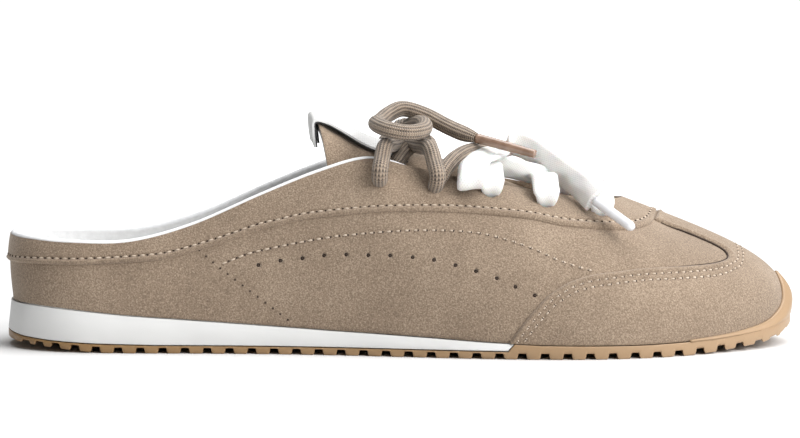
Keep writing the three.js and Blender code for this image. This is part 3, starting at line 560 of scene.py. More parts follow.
def makePins(name, places, radius, below, above):
    points, faces = [], []
    sides = 16
    turn = np.linspace(0, 2 * np.pi, sides, endpoint=False)
    for point, normal in places:
        level = np.cross(normal, (0.3, 0.1, 1.0))
        level /= np.linalg.norm(level)
        other = np.cross(normal, level)
        ring = radius * (np.cos(turn)[:, None] * level + np.sin(turn)[:, None] * other)
        start = len(points)
        points.extend(point - normal * below + ring)
        points.extend(point + normal * above + ring)
        for j in range(sides):
            k = (j + 1) % sides
            faces.append([start + j, start + k, start + sides + k, start + sides + j])
        faces.append([start + j for j in range(sides)][::-1])
        faces.append([start + sides + j for j in range(sides)])
    mesh = bpy.data.meshes.new(name)
    mesh.from_pydata(toFrame(points).tolist(), [], facingOut(points, faces))
    pins = bpy.data.objects.new(name, mesh)
    bpy.context.scene.collection.objects.link(pins)
    return pins


def eyeletPlace(row, side):
    rib, rise = locate(row[0] * shoeLength, row[1] * instepHeight)
    rib = onSide(rib, side)
    return lastPoint(rib, rise), lastNormal(rib, rise)


# Cords first

def alongLine(points, step):
    line = smoothLine(points, 24)
    lengths = np.concatenate([[0], np.cumsum(np.linalg.norm(np.diff(line, axis=0), axis=1))])
    count = max(int(lengths[-1] / step), 4)
    places = np.linspace(0, lengths[-1], count + 1)
    return np.stack([np.interp(places, lengths, line[:, k]) for k in range(line.shape[1])], 1), places


def tangentsOf(line):
    tangents = np.gradient(line, axis=0)
    return tangents / np.linalg.norm(tangents, axis=1)[:, None]


def roundLoops(line, radii, sides):
    tangents = tangentsOf(line)
    side = np.cross(tangents[0], (0, 0, 1.0))
    side /= np.linalg.norm(side)
    turn = np.linspace(0, 2 * np.pi, sides, endpoint=False)
    loops = []
    for point, tangent, radius in zip(line, tangents, radii):
        side = side - tangent * (side @ tangent)
        side /= np.linalg.norm(side)
        other = np.cross(tangent, side)
        loops.append(point + radius * (np.cos(turn)[:, None] * side + np.sin(turn)[:, None] * other))
    return np.array(loops)


def uvGrid(places, sides):
    u = np.repeat(places, sides)
    v = np.tile(np.abs(np.linspace(-1, 1, sides, endpoint=False)), len(places))
    return np.stack([u, v], 1)


def addCord(name, route, radius, material, nodes=(), step=0.8, sides=20, squash=None):
    line, places = alongLine(route, step)
    radii = np.full(len(line), radius) if squash is None else squash(places / places[-1]) * radius
    loops = roundLoops(line, radii, sides)
    return addLoft(name, loops, material, nodes, uvGrid(places, sides)), line, places[-1]


braidRadius = 0.45 * sizes["laceDiameter"]
laceEnd, laceLine, laceLength = addCord("lace_loop_and_end", laceRoute, braidRadius, "braid",
                                        ("lace_end",),
                                        squash=lambda t: 1 - 0.36 * np.clip((t - 0.93) / 0.07, 0, 1) ** 2)
laceTip, _, _ = addCord("lace_tip_film", laceTipRoute, sizes["laceTipDiameter"] / 2, "laceTip",
                        ("lace_tip",), 0.6, 16, lambda t: 1 - 0.18 * t ** 2)


# Soft ribbon: rows of (point, direction of its width), slightly dished, full in the middle
ribbonLook = {"edge": 0.3, "middle": 0.95, "tail": 1.0, "bar": 1.1, "fold": 1.2, "foldShare": 0.8}


def ribbonLoops(rows, width, thick, step):
    line, places = alongLine([point for point, _ in rows], step)
    shares = places / places[-1] * (len(rows) - 1)
    wides = np.array([wide for _, wide in rows], float)
    wide = np.stack([np.interp(shares, np.arange(len(rows)), wides[:, k]) for k in range(3)], 1)
    tangents = tangentsOf(line)
    wide -= tangents * (wide * tangents).sum(1)[:, None]
    wide /= np.linalg.norm(wide, axis=1)[:, None]
    normal = np.cross(tangents, wide)
    across = np.linspace(-0.5, 0.5, 15)
    edge = ribbonLook["edge"] + ribbonLook["middle"] * np.sqrt(np.clip(1 - (2 * across) ** 2, 0, 1))
    dish = 0.5 * (np.cos(2 * np.pi * across) * 0.5)
    dish = dish + 0.12 * np.sin(np.outer(places, [0.55])) * np.sin(across * 9)
    front = line[:, None] + wide[:, None] * (across * width)[None, :, None]
    lift = (dish * thick)[..., None]
    body = (edge * thick)[None, :, None]
    upper = front + normal[:, None] * (lift + body)
    lower = front + normal[:, None] * (lift - body)
    loops = np.concatenate([upper, lower[:, ::-1]], 1)
    v = np.concatenate([across, across[::-1]])
    uv = np.stack([np.repeat(places, len(v)), np.tile(v, len(places))], 1)
    return loops, uv, line, places[-1]


def addRibbon(name, rows, width, thick, nodes=(), step=0.7):
    loops, uv, line, length = ribbonLoops(rows, width, thick, step)
    return addLoft(name, loops, "ribbon", nodes, uv), line, length


ribbonEnd, ribbonLine, ribbonLength = addRibbon("ribbon_loop_and_tail", ribbonRoute, sizes["ribbonWidth"],
                                                ribbonLook["tail"], ("ribbon_end",))
ribbonTip, _, _ = addCord("ribbon_tip_film", ribbonTipRoute, sizes["ribbonTipDiameter"] / 2, "ribbonTip",
                          ("ribbon_tip",), 0.6, 16,
                          lambda t: 1 - 0.55 * np.clip((t - 0.9) / 0.1, 0, 1) ** 2)

tuple(toFrame(laceRoute[0]))
[tuple(p) for p in toFrame(laceLine)]
tuple(toFrame(ribbonRoute[0][0]))
[tuple(p) for p in toFrame(ribbonLine)]
print("cords ready", round(laceLength), round(ribbonLength))


# Bars of lace across the throat
def barRoute(row, stand, middle, shoulderRise):
    halves = []
    for side in (-1, 1):
        point, normal = eyeletPlace(row, side)
        end = point + normal * stand
        def along(share, rise):
            return (end[0] + (middle[0] - end[0]) * share, end[1] - side * share * abs(end[1]), end[2] + rise)
        rest = middle[2] - end[2] - shoulderRise
        halves.append([point - normal * 3.2, point + normal * 0.2, along(0.0, 0.6), along(0.08, 0.5 * shoulderRise),
                       along(0.22, shoulderRise), along(0.5, shoulderRise + 0.3 * rest)])
    return halves[0] + [middle] + halves[1][::-1]


barSetup = {"laceShoulders": (8.6, 9.4), "crossing": (135, 0, 68.6), "laceStand": 0.8,
            "ribbonRise": 8, "ribbonShoulder": 6.9, "ribbonShare": 0.98,
            "thirdStrand": [(147, -27.6, 56.6), (148.6, -26.6, 60), (151.6, -22.6, 63.4), (155.6, -17, 65.6),
                            (160, -11, 66.2), (164, -5, 65)],
            "middleStrand": [(143, -2, 70), (139.4, -7, 68.6), (135.6, -12.4, 65.6), (132, -17.6, 61)]}
# Ribbon that lies along the crest between its bars
foldRows = [((155, -16, 60.4), (0, -0.3, 1)), ((162, -15.4, 61), (0, -0.3, 1)),
            ((169, -14.6, 60.6), (0, -0.3, 1)), ((176, -13.4, 59), (0.1, -0.3, 1)),
            ((184, -12.6, 56.8), (0.2, -0.3, 1)), ((192, -12.4, 53.6), (0.3, -0.3, 1))]


def joinPieces(name, made, nodes):
    merged = bmesh.new()
    for piece in made:
        merged.from_mesh(piece.data)
    mesh = bpy.data.meshes.new(name)
    merged.to_mesh(mesh)
    merged.free()
    mesh.materials.append(made[0].data.materials[0])
    joined = bpy.data.objects.new(name, mesh)
    bpy.context.scene.collection.objects.link(joined)
    for piece in made:
        bpy.data.objects.remove(piece, do_unlink=True)
    return finishPiece(joined, nodes)


def taperEnds(share):
    fromEnd = np.minimum(share, 1 - share)
    return np.clip(0.74 + fromEnd * 5, 0.74, 1)


def makeLaceBars():
    stand = sizes["overlayGap"] + sizes["overlayThick"] + barSetup["laceStand"] + sizes["laceDiameter"] / 2
    made = []
    for i, row in enumerate(eyelets[:2]):
        route = barRoute(row, stand, barSetup["crossing"], barSetup["laceShoulders"][i])
        made.append(addCord("bar%d" % i, route, braidRadius, "braid",
                            squash=taperEnds)[0])
    x, y, z = barSetup["crossing"]
    turn = np.linspace(0.3, 2 * np.pi + 0.1, 12)
    wrap = [(x + 1.5 * a / 6 - 1, y + 4.2 * math.sin(a), z + 1 + 4.4 * math.cos(a)) for a in turn]
    made.append(addCord("knotWrap", wrap, 0.95 * braidRadius, "braid")[0])
    for strand in ("thirdStrand", "middleStrand"):
        made.append(addCord(strand, barSetup[strand], 0.95 * braidRadius, "braid",
                            squash=taperEnds)[0])
    return joinPieces("lace_bars_braid", made, ("lace_bars",))


def makeRibbonBars():
    stand = sizes["overlayGap"] + sizes["overlayThick"] + barSetup["laceStand"] + sizes["ribbonThick"] / 2
    made = []
    for i, row in enumerate(eyelets[2:]):
        middle = (row[0] * shoeLength - 3, 0, row[1] * instepHeight + barSetup["ribbonRise"])
        route = barRoute(row, stand, middle, barSetup["ribbonShoulder"])
        rows = [(point, (1, 0, 0)) for point in route]
        width = sizes["ribbonWidth"] * barSetup["ribbonShare"]
        loops, uv, line, length = ribbonLoops(rows, width, ribbonLook["bar"], 0.7)
        share = np.linspace(0, 1, len(loops))
        narrow = np.clip(0.32 + np.minimum(share, 1 - share) * 6, 0.32, 1)[:, None, None]
        centre = loops.mean(1, keepdims=True)
        across = (loops - centre) * narrow
        made.append(addLoft("ribbonBar%d" % i, centre + across, "ribbon", (), uv))
    made.append(addRibbon("ribbonFold", foldRows, ribbonLook["foldShare"] * sizes["ribbonWidth"],
                          ribbonLook["fold"])[0])
    return joinPieces("ribbon_bars_satin", made, ("ribbon_bars",))


makeLaceBars()
makeRibbonBars()
print("bars ready")


# Upper and lining

ringRibs = np.linspace(0, ribCount, 640, endpoint=False)


def bandTopRise(rib):
    fromHeel = np.minimum(rib, ribCount - rib)
    t = np.clip((fromHeel - 8) / 2, 0, 1)
    stand = sizes["rimStand"] * (1 - t * t * (3 - 2 * t))
    curve = curveAt(rib)
    foot, rim = curve[..., 0, 2], curve[..., 3, 2]
    return riseAtHeight(rib, rim - np.maximum(stand, 0.02 * (rim - foot)))


# Soft creases of the wall, seen from the side: two ends, half width and depth in millimetres
creaseRows = [(172, 11, 192, 27, 3.2, 0.4), (182, 9, 207, 27, 3.6, 0.45), (196, 10, 216, 22, 3.2, -0.25),
              (146, 10, 160, 25, 4, 0.3), (60, 20, 66, 31, 4, 0.25), (20, 20, 44, 26, 3.6, 0.25),
              (108, 14, 122, 26, 5, -0.25), (206, 33, 226, 40, 3, 0.3), (226, 12, 240, 24, 4, 0.25)]


def creaseDepth(points):
    x, z = points[..., 0], points[..., 2]
    depth = np.zeros(x.shape)
    for ax, az, bx, bz, width, deep in creaseRows:
        dx, dz = bx - ax, bz - az
        t = np.clip(((x - ax) * dx + (z - az) * dz) / (dx * dx + dz * dz), 0, 1)
        away = np.hypot(x - ax - t * dx, z - az - t * dz)
        depth = depth + deep * np.exp(-(away / width) ** 2)
    return depth * np.clip((np.abs(points[..., 1]) - 4) / 6, 0, 1)


def ringLoops(outside, inside, outTop, inTop, levels=46):
    shares = np.linspace(0, 1, levels)
    outer = [offLast(ringRibs, outTop * share, outside - creaseDepth(lastPoint(ringRibs, outTop * share)))
             for share in shares]
    inner = [offLast(ringRibs, inTop * share, np.full(len(ringRibs), inside)) for share in shares[::-3]]
    return np.stack(outer + inner, 1)


def makeUpper():
    top = bandTopRise(ringRibs) - 0.004
    loops = ringLoops(0.0, -1.1, top, top)
    return addRing("suede_upper", loops, "suede", ("upper",))


# The lining rolls over the rim as a soft white bead along the collar, and ends inside at the throat
liningLook = {"bead": 1.15, "centre": -0.75}


def makeLining():
    fromHeel = np.minimum(ringRibs, ribCount - ringRibs)
    t = np.clip((fromHeel - 8.5) / 1.5, 0, 1)
    collar = 1 - t * t * (3 - 2 * t)
    curve = curveAt(ringRibs)
    height = curve[:, 3, 2] - 1.0 - 0.9 * (1 - collar)
    rise = riseAtHeight(ringRibs, height)
    centre = lastPoint(ringRibs, rise) + lastNormal(ringRibs, rise) * liningLook["centre"]
    outward = lastNormal(ringRibs, rise)
    up = lastPoint(ringRibs, rise + 0.01) - lastPoint(ringRibs, rise)
    up /= np.linalg.norm(up, axis=1)[:, None]
    radius = (0.35 + (liningLook["bead"] - 0.35) * collar)[:, None]
    bead = [centre + up * radius * 0.4 + radius * (outward * math.cos(a) * 1.15 + up * math.sin(a))
            for a in np.linspace(-0.5, math.pi + 0.3, 12)]
    levels = np.linspace(0, 1, 30)
    outer = [offLast(ringRibs, rise * 0.97 * s, np.full(len(ringRibs), -1.3)) for s in levels]
    inner = [offLast(ringRibs, rise * 0.97 * s, np.full(len(ringRibs), -2.0)) for s in levels[::-1]]
    return addRing("lining", np.stack(outer + bead + inner, 1), "lining")


# Overlays are cut from the last's own surface by a field that is positive inside them

def signedInSide(points, line, corners):
    x, z = points[..., 0], points[..., 2]
    best = np.full(x.shape, 1e9)
    for (ax, az), (bx, bz) in zip(line[:-1], line[1:]):
        dx, dz = bx - ax, bz - az
        t = np.clip(((x - ax) * dx + (z - az) * dz) / (dx * dx + dz * dz), 0, 1)
        best = np.minimum(best, np.hypot(x - ax - t * dx, z - az - t * dz))
    outline = np.vstack([line, corners])
    inside = np.zeros(x.shape, bool)
    for (ax, az), (bx, bz) in zip(outline, np.roll(outline, -1, 0)):
        if az == bz:
            continue
        crosses = (az > z) != (bz > z)
        inside ^= crosses & (x < ax + (z - az) / (bz - az) * (bx - ax))
    return np.where(inside, best, -best)


bandLine = inSide(bandEdge)
guardLine = inSide(guardEdge)
overlaySetup = {"cornerRound": 7.0, "bandSpace": 0.35, "stripHalfWidth": 10.5, "face": 0.8,
                "roll": 0.5, "dip": 0.32}


def bandField(points):
    return signedInSide(points, bandLine, [(bandLine[-1, 0], 200), (bandLine[0, 0], 200)])


def capField(points):
    return signedInSide(points, guardLine, [(guardLine[-1, 0], 200), (400, 200), (400, -50),
                                            (guardLine[0, 0], -50)])


def smoothUnion(a, b, size):
    h = np.maximum(size - np.abs(a - b), 0) / size
    return np.maximum(a, b) + h * h * size / 4


# The guard is the toe cap with a strip that runs back along the crest to the band
def guardField(points):
    middle = 2.0 * np.clip((points[..., 0] - 200) / 60, 0, 1)
    strip = overlaySetup["stripHalfWidth"] - np.abs(points[..., 1] - middle)
    strip = np.minimum(strip, points[..., 0] - 205)
    whole = smoothUnion(capField(points), strip, overlaySetup["cornerRound"])
    return np.minimum(whole, -bandField(points) - overlaySetup["bandSpace"])


def cutSheet(ribValues, riseTable, field):
    rows, columns = riseTable.shape
    closed = abs(ribValues[-1] - ribValues[0]) > ribCount - 1
    rib = np.repeat(ribValues, columns)
    rise = riseTable.ravel()
    quads = np.array(gridFaces(rows, columns, closed))
    triangles = np.concatenate([quads[:, [0, 1, 2]], quads[:, [0, 2, 3]]])
    value = field(lastPoint(rib, rise))
    value = np.where(np.abs(value) < 1e-5, 1e-5, value)
    inside = value > 0
    count = inside[triangles].sum(1)
    faces = triangles[count == 3].tolist()
    newRib, newRise, made = list(rib), list(rise), {}

    def between(a, b):
        key = (min(a, b), max(a, b))
        if key not in made:
            t = value[a] / (value[a] - value[b])
            ribA, ribB = rib[a], rib[b]
            if abs(ribA - ribB) > ribCount / 2:
                ribA, ribB = (ribA + ribCount, ribB) if ribA < ribB else (ribA, ribB + ribCount)
            made[key] = len(newRib)
            newRib.append(ribA + t * (ribB - ribA))
            newRise.append(rise[a] + t * (rise[b] - rise[a]))
        return made[key]

    for triangle in triangles[(count == 1) | (count == 2)]:
        a, b, c = triangle
        for _ in range(3):
            if inside[a] != inside[b] and inside[a] != inside[c]:
                break
            a, b, c = b, c, a
        ab, ac = between(a, b), between(a, c)
        if inside[a]:
            faces.append([a, ab, ac])
        else:
            faces.append([ab, b, c])
            faces.append([ab, c, ac])
    used = np.unique(np.array(faces))
    renumber = {int(old): i for i, old in enumerate(used)}
    faces = [[renumber[int(i)] for i in face] for face in faces]
    return np.array(newRib)[used], np.array(newRise)[used], faces


def openEdges(faces):
    seen = {}
    for face in faces:
        for k in range(3):
            a, b = face[k], face[(k + 1) % 3]
            if (b, a) in seen:
                del seen[(b, a)]
            else:
                seen[(a, b)] = True
    return list(seen)


def chains(edges):
    following = dict(edges)
    found = []
    while following:
        start, nextOne = following.popitem()
        chain = [start]
        while nextOne in following:
            chain.append(nextOne)
            nextOne = following.pop(nextOne)
        chain.append(nextOne)
        found.append(chain)
    return found


# Height of an overlay's face over the last: a rolled edge, and a dip along each seam
def overlayHeight(fromEdge, fromSeamEdge, seams):
    face, roll, dip = overlaySetup["face"], overlaySetup["roll"], overlaySetup["dip"]
    height = face + roll * np.exp(-((fromEdge - 0.5 * seams[0]) / 0.62) ** 2)
    for seam in seams:
        height = height - dip * np.exp(-((fromSeamEdge - seam) / 0.42) ** 2)
    return height * (1 - np.exp(-(fromEdge + 0.12) / 0.22))


def addOverlay(name, sheet, field, seamField, seams, nodes):
    rib, rise, faces = cutSheet(*sheet, field)
    base = lastPoint(rib, rise)
    edges = openEdges(faces)
    height = overlayHeight(np.maximum(field(base), 0), seamField(base), seams)
    outer = offLast(rib, rise, height - creaseDepth(base))
    inner = offLast(rib, rise, -0.3 - creaseDepth(base))
    total = len(rib)
    allFaces = [list(face) for face in faces] + [[i + total for i in face[::-1]] for face in faces]
    allFaces += [[b, a, a + total, b + total] for a, b in edges]
    points = np.vstack([outer, inner])
    return addMesh(name, points, facingOut(points, allFaces), "suede", nodes, sharpAngle=50)


# Lines on the last where a field has a given value, lifted off it, in steps of 0.8 mm
def contourPaths(sheet, field, value, lift, keep):
    rib, rise, faces = cutSheet(*sheet, lambda points: field(points) - value)
    base = lastPoint(rib, rise)
    onLine = (np.abs(field(base) - value) < 0.3) & keep(base)
    paths = []
    for chain in chains(openEdges(faces)):
        for run in runsOf(np.array(chain), onLine[chain]):
            line = smoothRows(base[run], 6)
            lengths = np.concatenate([[0], np.cumsum(np.linalg.norm(np.diff(line, axis=0), axis=1))])
            if lengths[-1] < 8:
                continue
            places = np.arange(0, lengths[-1], 0.8)
            turned = np.unwrap(rib[run] * 2 * np.pi / ribCount) * ribCount / (2 * np.pi)
            normal = lastNormal(np.interp(places, lengths, turned), np.interp(places, lengths, rise[run]))
            spread = [np.interp(places, lengths, line[:, k]) for k in range(3)]
            points = np.stack(spread, 1)
            paths.append(points + normal * (lift - creaseDepth(points))[:, None])
    return paths


def runsOf(chain, keep):
    if keep.all():
        return [chain]
    start = int(np.argmin(keep))
    chain, keep = np.roll(chain, -start), np.roll(keep, -start)
    runs, current = [], []
    for i, good in zip(chain, keep):
        if good:
            current.append(i)
        elif current:
            runs.append(np.array(current))
            current = []
    if current:
        runs.append(np.array(current))
    return [run for run in runs if len(run) > 12]


def smoothRows(line, times):
    line = line.copy()
    for _ in range(times):
        line[1:-1] = 0.25 * line[:-2] + 0.5 * line[1:-1] + 0.25 * line[2:]
    return line


# Geometry Nodes: an oblong bead at every pitch along a path
def beadTree():
    tree = bpy.data.node_groups.new("beadsAlongPath", "GeometryNodeTree")
    face = tree.interface
    face.new_socket("Path", in_out="INPUT", socket_type="NodeSocketGeometry")
    for name in ("Pitch", "Half length", "Half width"):
        face.new_socket(name, in_out="INPUT", socket_type="NodeSocketFloat")
    face.new_socket("Finish", in_out="INPUT", socket_type="NodeSocketMaterial")
    face.new_socket("Beads", in_out="OUTPUT", socket_type="NodeSocketGeometry")
    nodes, links = tree.nodes, tree.links
    given = nodes.new("NodeGroupInput")
    result = nodes.new("NodeGroupOutput")
    spots = nodes.new("GeometryNodeCurveToPoints")
    spots.mode = "LENGTH"
    bead = nodes.new("GeometryNodeMeshUVSphere")
    bead.inputs["Segments"].default_value = 8
    bead.inputs["Rings"].default_value = 6
    bead.inputs["Radius"].default_value = 1.0
    size = nodes.new("ShaderNodeCombineXYZ")
    place = nodes.new("GeometryNodeInstanceOnPoints")
    real = nodes.new("GeometryNodeRealizeInstances")
    smooth = nodes.new("GeometryNodeSetShadeSmooth")
    paint = nodes.new("GeometryNodeSetMaterial")
    for source, output, target, socket in (
            (given, "Path", spots, "Curve"), (given, "Pitch", spots, "Length"),
            (given, "Half width", size, "X"), (given, "Half width", size, "Y"),
            (given, "Half length", size, "Z"), (spots, "Points", place, "Points"),
            (spots, "Rotation", place, "Rotation"), (bead, "Mesh", place, "Instance"),
            (size, "Vector", place, "Scale"), (place, "Instances", real, "Geometry"),
            (real, "Geometry", smooth, "Geometry"), (smooth, "Geometry", paint, "Geometry"),
            (given, "Finish", paint, "Material"), (paint, "Geometry", result, "Beads")):
        links.new(source.outputs[output], target.inputs[socket])
    return tree


beads = beadTree()


def addBeads(name, paths, pitch, halfLength, halfWidth, material):
    data = bpy.data.curves.new(name + "Path", "CURVE")
    data.dimensions = "3D"
    for path in paths:
        spline = data.splines.new("POLY")
        spline.points.add(len(path) - 1)
        spline.points.foreach_set("co", np.hstack([toFrame(path), np.ones((len(path), 1))]).ravel())
    carrier = bpy.data.objects.new(name + "Path", data)
    bpy.context.scene.collection.objects.link(carrier)
    modifier = carrier.modifiers.new("beads", "NODES")
    modifier.node_group = beads
    values = {"Pitch": pitch / 1000, "Half length": halfLength / 1000, "Half width": halfWidth / 1000,
              "Finish": looks[material]}
    for item in beads.interface.items_tree:
        if item.in_out == "INPUT" and item.name in values:
            modifier[item.identifier] = values[item.name]
    evaluated = carrier.evaluated_get(bpy.context.evaluated_depsgraph_get())
    mesh = bpy.data.meshes.new_from_object(evaluated)
    mesh.name = name
    piece = bpy.data.objects.new(name, mesh)
    bpy.context.scene.collection.objects.link(piece)
    bpy.data.objects.remove(carrier, do_unlink=True)
    return finishPiece(piece, ())


stitchSetup = {"pitch": 2.9, "thread": 0.34, "length": 0.85, "holeShade": 0.36, "bandSeam": 1.9,
               "guardSeams": (1.9, 3.7), "lift": 0.62}


def shiftAlong(path, distance):
    lengths = np.concatenate([[0], np.cumsum(np.linalg.norm(np.diff(path, axis=0), axis=1))])
    places = np.arange(distance, lengths[-1], 0.8)
    return np.stack([np.interp(places, lengths, path[:, k]) for k in range(3)], 1)


suedeUpper = makeUpper()
lining = makeLining()
# Holes: radius, and how far each pin reaches below and above the surface; and the radius of the dark disc painted
# as shade at the bottom of each perforation
holeSetup = {"eyelet": (2.2, 5, 6), "perforation": (0.66, 0.95, 2), "shadeRadius": 0.62}
eyeletPins = makePins("eyeletPins", [eyeletPlace(row, side) for row in eyelets for side in (-1, 1)],
                      *holeSetup["eyelet"])
print("upper ready")

bandTop = bandTopRise(ringRibs)
bandLow = riseAtHeight(ringRibs, 22.0)
bandSheet = (ringRibs, bandLow[:, None] + (bandTop - bandLow)[:, None] * np.linspace(0, 1, 76)[None])
collarBand = addOverlay("collar_band_suede", bandSheet, bandField, bandField, (stitchSetup["bandSeam"],),
                        ("collar_band",))
guardRibs = np.linspace(10.2, ribCount - 10.2, 420)
guardSheet = (guardRibs, np.repeat(np.linspace(0, 1, 124)[None], len(guardRibs), 0))
addOverlay("toe_guard_suede", guardSheet, guardField, capField, stitchSetup["guardSeams"], ("toe_guard",))
print("overlays ready")

# Pinholes and perforations of the quarter, seen from the side in millimetres
pinRows = [(67.5, 34), (73.1, 29.3), (82.8, 22), (97, 11.4)]
curveRow = [(76, 29.9), (84, 33), (92.3, 35), (100.9, 36.8), (112.2, 38.8), (120.8, 39.8), (129.4, 40.6),
            (138.3, 41.1), (149.4, 41.1), (157.9, 40.5), (163.5, 39.6), (171.4, 37.5), (178.8, 34.9),
            (186.3, 31.6), (196, 28.6)]
perforations = [(87.1, 29.3), (94.4, 30.8), (101.7, 31.7), (108.9, 32.7), (116.2, 33.1), (123.5, 33),
                (130.7, 33), (138.1, 32.6), (145.1, 31.8), (152.1, 30.2), (158.8, 28.4), (165.6, 26.2),
                (171.6, 23.5), (177.9, 20.8)]


def onQuarter(line, side, lift):
    points = []
    for x, z in line:
        rib, rise = locate(x, z)
        rib = onSide(rib, side)
        point = lastPoint(rib, rise)
        points.append(point + lastNormal(rib, rise) * (lift - creaseDepth(point)))
    return np.array(points)


perforationPins = makePins("perforationPins", [
    (lastPoint(onSide(rib, side), rise), lastNormal(onSide(rib, side), rise))
    for rib, rise in (locate(x, z) for x, z in perforations) for side in (-1, 1)],
    *holeSetup["perforation"])
cutBy(suedeUpper, eyeletPins)
cutBy(suedeUpper, perforationPins)
cutBy(collarBand, eyeletPins)
cutBy(lining, eyeletPins)
for pins in (eyeletPins, perforationPins):
    bpy.data.objects.remove(pins, do_unlink=True)
print("holes cut")

threadPaths = contourPaths(bandSheet, bandField, stitchSetup["bandSeam"], stitchSetup["lift"],
                           lambda points: points[..., 2] < 60)
for inset in stitchSetup["guardSeams"]:
    threadPaths += contourPaths(guardSheet, capField, inset, stitchSetup["lift"],
                                lambda points: points[..., 2] > 5.5)
holeShadePaths = [shiftAlong(path, stitchSetup["pitch"] / 2) for path in threadPaths]
# Path of the painted shadow along the toe strip's edge
stripEdgeShadePaths = contourPaths(guardSheet, guardField, 0.0, 0.25,
                       lambda points: (points[..., 0] > 222) & (points[..., 0] < 247.5)
                       & (capField(points) < 3) & (np.abs(points[..., 1]) > 9))
for side in (-1, 1):
    row = onQuarter(smoothLine(curveRow, 10), side, 0.16)
    threadPaths.append(row)
    holeShadePaths.append(shiftAlong(row, stitchSetup["pitch"] / 2))
    holeShadePaths.append(onQuarter(smoothLine(pinRows, 10), side, 0.02))
addBeads("seam_threads", threadPaths, stitchSetup["pitch"], stitchSetup["length"], stitchSetup["thread"],
         "thread")
# Dark dots at the needle holes and pinholes: painted shade inside the holes
addBeads("needle_hole_shade", holeShadePaths, stitchSetup["pitch"], stitchSetup["holeShade"], stitchSetup["holeShade"],
         "holeShade")
# Dark discs at the bottom of the perforations: painted shade inside the holes
perforationShadePaths = [np.vstack([spot, spot + (0.3, 0, 0)]) for side in (-1, 1)
             for spot in onQuarter(perforations, side, -holeSetup["shadeRadius"])]
addBeads("perforation_shade", perforationShadePaths, 1.0, holeSetup["shadeRadius"], holeSetup["shadeRadius"],
         "holeShade")
# Thin dark cord along the strip's edge: painted shadow in the gap under the overlay
joinPieces("strip_edge_shade", [
    addCord("edge%d" % i, path[::3], 0.34, "holeShade", sides=8,
            squash=lambda t: np.clip(np.minimum(t, 1 - t) * 6, 0.3, 1))[0]
    for i, path in enumerate(stripEdgeShadePaths)], ())
print("seams ready")


# Sole

def soleOutline(lip, stations):
    rib = np.linspace(0, toeRib, 700)
    sides = []
    for values in (rib, ribCount - rib):
        foot = curveAt(values)[..., 0, :]
        run = curveAt(values + 0.05)[..., 0, :] - curveAt(values - 0.05)[..., 0, :]
        outward = np.stack([run[:, 1], -run[:, 0]], 1)
        outward /= np.linalg.norm(outward, axis=1)[:, None]
        t = np.clip((foot[:, 0] / shoeLength - 0.9) / 0.08, 0, 1)
        reach = lip + sizes["toeLip"] * t * t * (3 - 2 * t)
        x = foot[:, 0] + outward[:, 0] * reach
        y = foot[:, 1] + outward[:, 1] * reach
        order = np.argsort(x)
        sides.append((x[order], y[order]))
    low = max(side[0][0] for side in sides)
    high = min(side[0][-1] for side in sides)
    x = low + (high - low) * stations
    return x, np.interp(x, *sides[0]), np.interp(x, *sides[1])


def seatHeight(x):
    return np.interp(np.asarray(x) / shoeLength, ribs["along"], ribs["seat"]) * heelSeat


def roundStations(count):
    return (1 - np.cos(np.linspace(0, np.pi, count))) / 2


# Loft along the foot: the side wall bulges a little and its corners are eased
def soleLoops(lipLow, lipHigh, stations, bottom, top, ease):
    x, lowOuter, lowInner = soleOutline(lipLow, stations)
    xTop, topOuter, topInner = soleOutline(lipHigh, stations)
    low, high = bottom(x), top(xTop)
    loops = []
    for i in range(len(x)):
        depth = max(high[i] - low[i], 0.05)
        e = min(ease, 0.3 * depth, 0.3 * abs(lowInner[i] - lowOuter[i]) + 0.01)
        side = []
        for yLow, yTop, sign in ((lowOuter[i], topOuter[i], 1), (lowInner[i], topInner[i], -1)):
            side.append([(x[i], yLow + sign * e, low[i]), (x[i], yLow + sign * 0.3 * e, low[i] + 0.3 * e),
                         (x[i], yLow, low[i] + e),
                         ((x[i] + xTop[i]) / 2, (yLow + yTop) / 2 - sign * 0.12, (low[i] + high[i]) / 2),
                         (xTop[i], yTop, high[i] - 0.5 * e), (xTop[i], yTop + sign * 0.5 * e, high[i])])
        outer, inner = side
        loops.append(inner[::-1] + [(x[i], (lowOuter[i] + lowInner[i]) / 2, low[i])] + outer
                     + [(xTop[i], (topOuter[i] + topInner[i]) / 2, high[i])])
    return np.array(loops)


def groovePlaces():
    places = [sizes["firstGroove"] + i * sizes["groovePitch"] for i in range(sizes["fullGrooves"])]
    for step in (0.94, 0.9, 0.78, 0.67):
        places.insert(0, places[0] - step * sizes["groovePitch"])
    for step in (0.91, 0.95, 0.76, 0.56):
        places.append(places[-1] + step * sizes["groovePitch"])
    return places


